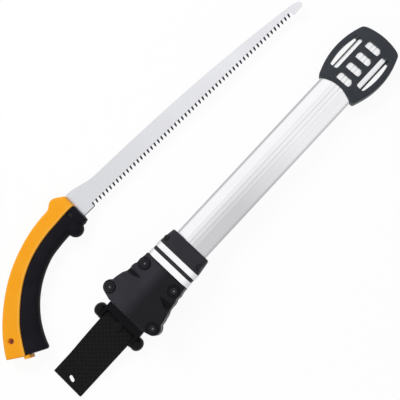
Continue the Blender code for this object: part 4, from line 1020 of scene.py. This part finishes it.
def make_collar():
    """A ring round the tube that narrows away from the mouth, with two sunk screws."""
    collar = solid("collar", upright(rounded_box(31.8, 13.0, 10.0, 10), 95.9), (21.4, 0, 0))
    pick("VERT", lambda c: c.x > 100)
    taper = 1 - 3.0 / 32.2
    bpy.ops.transform.resize(value=(1, taper, taper), center_override=(0, 0, 0))
    round_edges(lambda c: c.x > 100, 2.2, 5)
    round_edges(lambda c: c.x < 97, 0.5, 2)
    close()
    cut(collar, solid_tool(upright(tube_outline(ROOM), 0), (300, 0, 0)))
    for spot in COLLAR_SCREWS:
        cut(collar, drum_tool(3.7, 9.5, 40, spot), drum_tool(1.8, -4.1, 40, spot, 32))
    soften(collar, 0.2, 2, 50)
    place_piece(collar, "scabbard", SHELL, ["tube_collar"])


# ---- end cap ----
def cap_side(x, inset):
    """Half the cage's width, or that of a line inside its bowed side."""
    bow = 96.0
    return 37.1 - bow + ((bow - inset) ** 2 - (x - 420.0) ** 2) ** 0.5


def cap_outline():
    """The cage from above: a hollowed front edge, bowed sides, round corners and a bulged end."""
    front = [(382.0 - 6.0 * (i / 8) ** 2, 25.8 * i / 8) for i in range(9)]
    side = [382.0 + 73.5 * i / 20 for i in range(21)]
    side = [(x, cap_side(x, 0)) for x in side]
    corner = arc((454.0, side[-1][1] - 7.5), 7.5, 72, 12, 8)
    top = corner[-1][1]
    end = [(465.5 - 4.0 * (1 - i / 8) ** 2, top * (1 - i / 8)) for i in range(1, 8)]
    half = front[1:-1] + arc((380.6, 25.4), 3.3, 200, 105, 6) + side[1:] + corner + end
    return [front[0]] + half + [(465.5, 0.0)] + [(x, -y) for x, y in reversed(half)]


def window_tool(points, draft):
    """A cutter through the cage; its lower half leans outwards, as the mould draws."""
    solid("tool", level(points, -1.0), (0, 0, 20.0))
    pick("FACE", lambda normal: normal.z < -0.9)
    push((0, draft, -16.0))
    return close()


def make_cap():
    """A cage that falls off to its sides and its end, with four slots and a long window each side."""
    cap = solid("cage_cap", level(cap_outline(), -10.5), (0, 0, 18.5))
    close()
    crown = [(-40.0, 3.0), (-8.0, 8.0), (8.0, 8.0), (40.0, 3.0)]
    crown += [(40.0, -4.6), (8.0, -10.5), (-8.0, -10.5), (-40.0, -4.6)]
    taper = [(370.0, -10.6), (370.0, 8.1), (450.0, 8.1), (467.0, 4.0), (467.0, -4.6), (450.0, -10.6)]
    combine(cap, "INTERSECT", solid_tool(upright(crown, 370.0), (110.0, 0, 0)),
            solid_tool(sideways(taper, -60.0), (0, 120.0, 0)))
    bpy.ops.object.mode_set(mode="EDIT")
    for side in (1, -1):
        round_over(lambda normal: normal.z * side > 0.9, 3.0)
    close()
    cut(cap, solid_tool(upright(tube_outline(ROOM), 300), (152.3, 0, 0)))
    for x in (393.0, 410.3, 427.6, 444.9):
        cut(cap, window_tool(rounded_box(5.1, 11.2, 3.4, 6, (x, 0.0)), 0.0))
    for side in (1, -1):
        bow = [443.0 - 44.0 * i / 14 for i in range(15)]
        bow = [(x, cap_side(x, 7.4)) for x in bow]
        window = arc((399.5, 18.8), 3.0, 180, 270, 5) + arc((442.5, 18.8), 3.0, -90, 0, 5)
        window += arc((443.0, bow[0][1] - 2.5), 2.5, 0, 75, 4) + bow[1:-1]
        window += arc((399.0, bow[-1][1] - 2.5), 2.5, 105, 180, 4)
        window = [(x, side * y) for x, y in window]
        cut(cap, window_tool(window, side * 7.0))
    soften(cap, 0.5, 2, 50)
    place_piece(cap, "scabbard", CAP, ["end_cap"])


# ---- belt hanger ----
def strap_path():
    """Middle line of the webbing: out along the ground, up round the bar and back down to its end."""
    wrap = 6.1
    path = [(STRAP_END + 81.4 * i / 20, GROUND + 1.12) for i in range(21)]
    path += arc((0, 0), wrap, -100, 90, 24)
    drop = 7.2 - GROUND - 4.4
    for i in range(1, 17):
        s = i / 16
        path.append((SEWN_FROM * s, wrap - drop * s ** 2 * (1 + 0.6 * (1 - s))))
    path += [(SEWN_FROM - 31.2 * i / 8, GROUND + UPPER_LAYER) for i in range(1, 9)]
    return path


def make_strap():
    """Webbing as wide as the loop it makes, with rounded end corners and an oval slot near its end."""
    path = [Vector((x, z)) for x, z in strap_path()]
    outer = []
    inner = []
    for i, here in enumerate(path):
        along = (path[min(i + 1, len(path) - 1)] - path[max(i - 1, 0)]).normalized()
        out = Vector((along.y, -along.x)) * STRAP_HALF
        outer.append(tuple(here + out))
        inner.append(tuple(here - out))
    strap = solid("webbing_strap", sideways(outer + list(reversed(inner)), -STRAP_WIDTH / 2),
                  (0, STRAP_WIDTH, 0))
    near_edge = STRAP_WIDTH / 2 - 0.1
    round_edges(lambda c: c.x < STRAP_END + 0.1 and abs(c.y) > near_edge, 3.0, 5)
    round_edges(lambda c: abs(c.y) > near_edge, 0.8, 3)
    close()
    slot = rounded_box(2.7, 4.6, 2.6, 5)
    lean = radians(-16)
    slot = [(x * cos(lean) - y * sin(lean) - 88.7, x * sin(lean) + y * cos(lean)) for x, y in slot]
    cut(strap, solid_tool(level(slot, -30), (0, 0, 60)), drum_tool(2.1, 0, 30, (0, 0), 32))
    map_weave(strap, path)
    place_piece(strap, "hanger", WEBBING, ["belt_strap"])


def map_weave(strap, path):
    """Writes each corner's place along and across the webbing, in metres, for the weave to follow."""
    runs = [0.0]
    for here, there in zip(path, path[1:]):
        runs.append(runs[-1] + (there - here).length)
    mesh = strap.data
    places = []
    for corner in mesh.vertices:
        spot = Vector((corner.co.x, corner.co.z))
        best = None
        for here, there, run in zip(path, path[1:], runs):
            step = there - here
            share = min(max((spot - here).dot(step) / step.length_squared, 0.0), 1.0)
            gap = (spot - here - step * share).length
            if best is None or gap < best[0]:
                best = (gap, run + step.length * share)
        places.append((best[1] / 1000, corner.co.y / 1000))
    layer = mesh.uv_layers.new(name="weave")
    for loop in mesh.loops:
        layer.data[loop.index].uv = places[loop.vertex_index]


def stitch_rows(name, size, first, count, step, across):
    """Two rows of stitches, from the first stitch by steps, and once more across."""
    rows = new_piece(bpy.ops.mesh.primitive_cube_add, name, size=1, scale=(*size, 0.7),
                     location=(*first, GROUND + UPPER_LAYER + STRAP_HALF))
    bpy.ops.mesh.bevel(offset=0.28, segments=2, affect="EDGES")
    select_all()
    for i in range(count - 1):
        bpy.ops.mesh.duplicate_move(TRANSFORM_OT_translate={"value": step})
    select_all()
    bpy.ops.mesh.duplicate_move(TRANSFORM_OT_translate={"value": across})
    close()
    return rows


def make_stitching():
    """Heavy thread in a box round the end of the strap, where it is sewn down on itself."""
    sides = stitch_rows("strap_stitching", (3.0, 0.8), (-70.0, 19.5), 6, (-4.6, 0, 0), (0, -39.0, 0))
    ends = stitch_rows("tool", (0.8, 3.0), (-67.2, 17.5), 9, (0, -4.375, 0), (-28.0, 0, 0))
    choose(sides)
    ends.select_set(True)
    bpy.ops.object.join()
    place_piece(sides, "hanger", THREAD, [], smooth=40)


def make_bar():
    """The hanger's bar with a domed button on it and a domed knob on each end."""
    bar = drum("bar", 4.7, -36.0, 36.0, (0, 0), 48, "y")
    round_edges(lambda c: abs(c.y) > 35.9, 0.5, 2)
    close()
    cut(bar, drum_tool(2.1, 1.4, 30, (0, 0), 32))
    place_piece(bar, "hanger", BLACKENED, ["hanger_bar"])
    rounds = [radians(t) for t in range(80, -1, -10)]
    profile = [(0.0, BUTTON_FACE + 2.2)]
    profile += [(6.4 * cos(t), BUTTON_FACE + 2.2 * (0.35 + 0.65 * sin(t))) for t in rounds]
    profile += [(6.4, 7.75), (6.15, BUTTON_FACE), (1.8, BUTTON_FACE), (1.8, 1.7), (0.0, 1.7)]
    button = turned("button", profile)
    place_piece(button, "hanger", LACQUER, ["hanger_button"])
    rounds = [radians(t) for t in range(85, -1, -5)]
    profile = [(0.0, 39.4)] + [(9.0 * cos(t), 31.8 + 7.6 * sin(t)) for t in rounds]
    profile += [(9.0, 29.1), (8.4, 28.5), (5.0, 28.5), (5.0, 36.3), (0.0, 36.3)]
    for name, side in (("left", 1), ("right", -1)):
        knob = turned(f"knob_{name}", [(r, side * h) for r, h in profile], "y")
        place_piece(knob, "hanger", LACQUER, [f"bar_knob_{name}"])


make_blade()
make_spine()
make_grip()
make_bolts()
make_front_shell()
make_back_shell()
make_tube()
make_bands()
make_collar()
make_cap()
make_strap()
make_stitching()
make_bar()
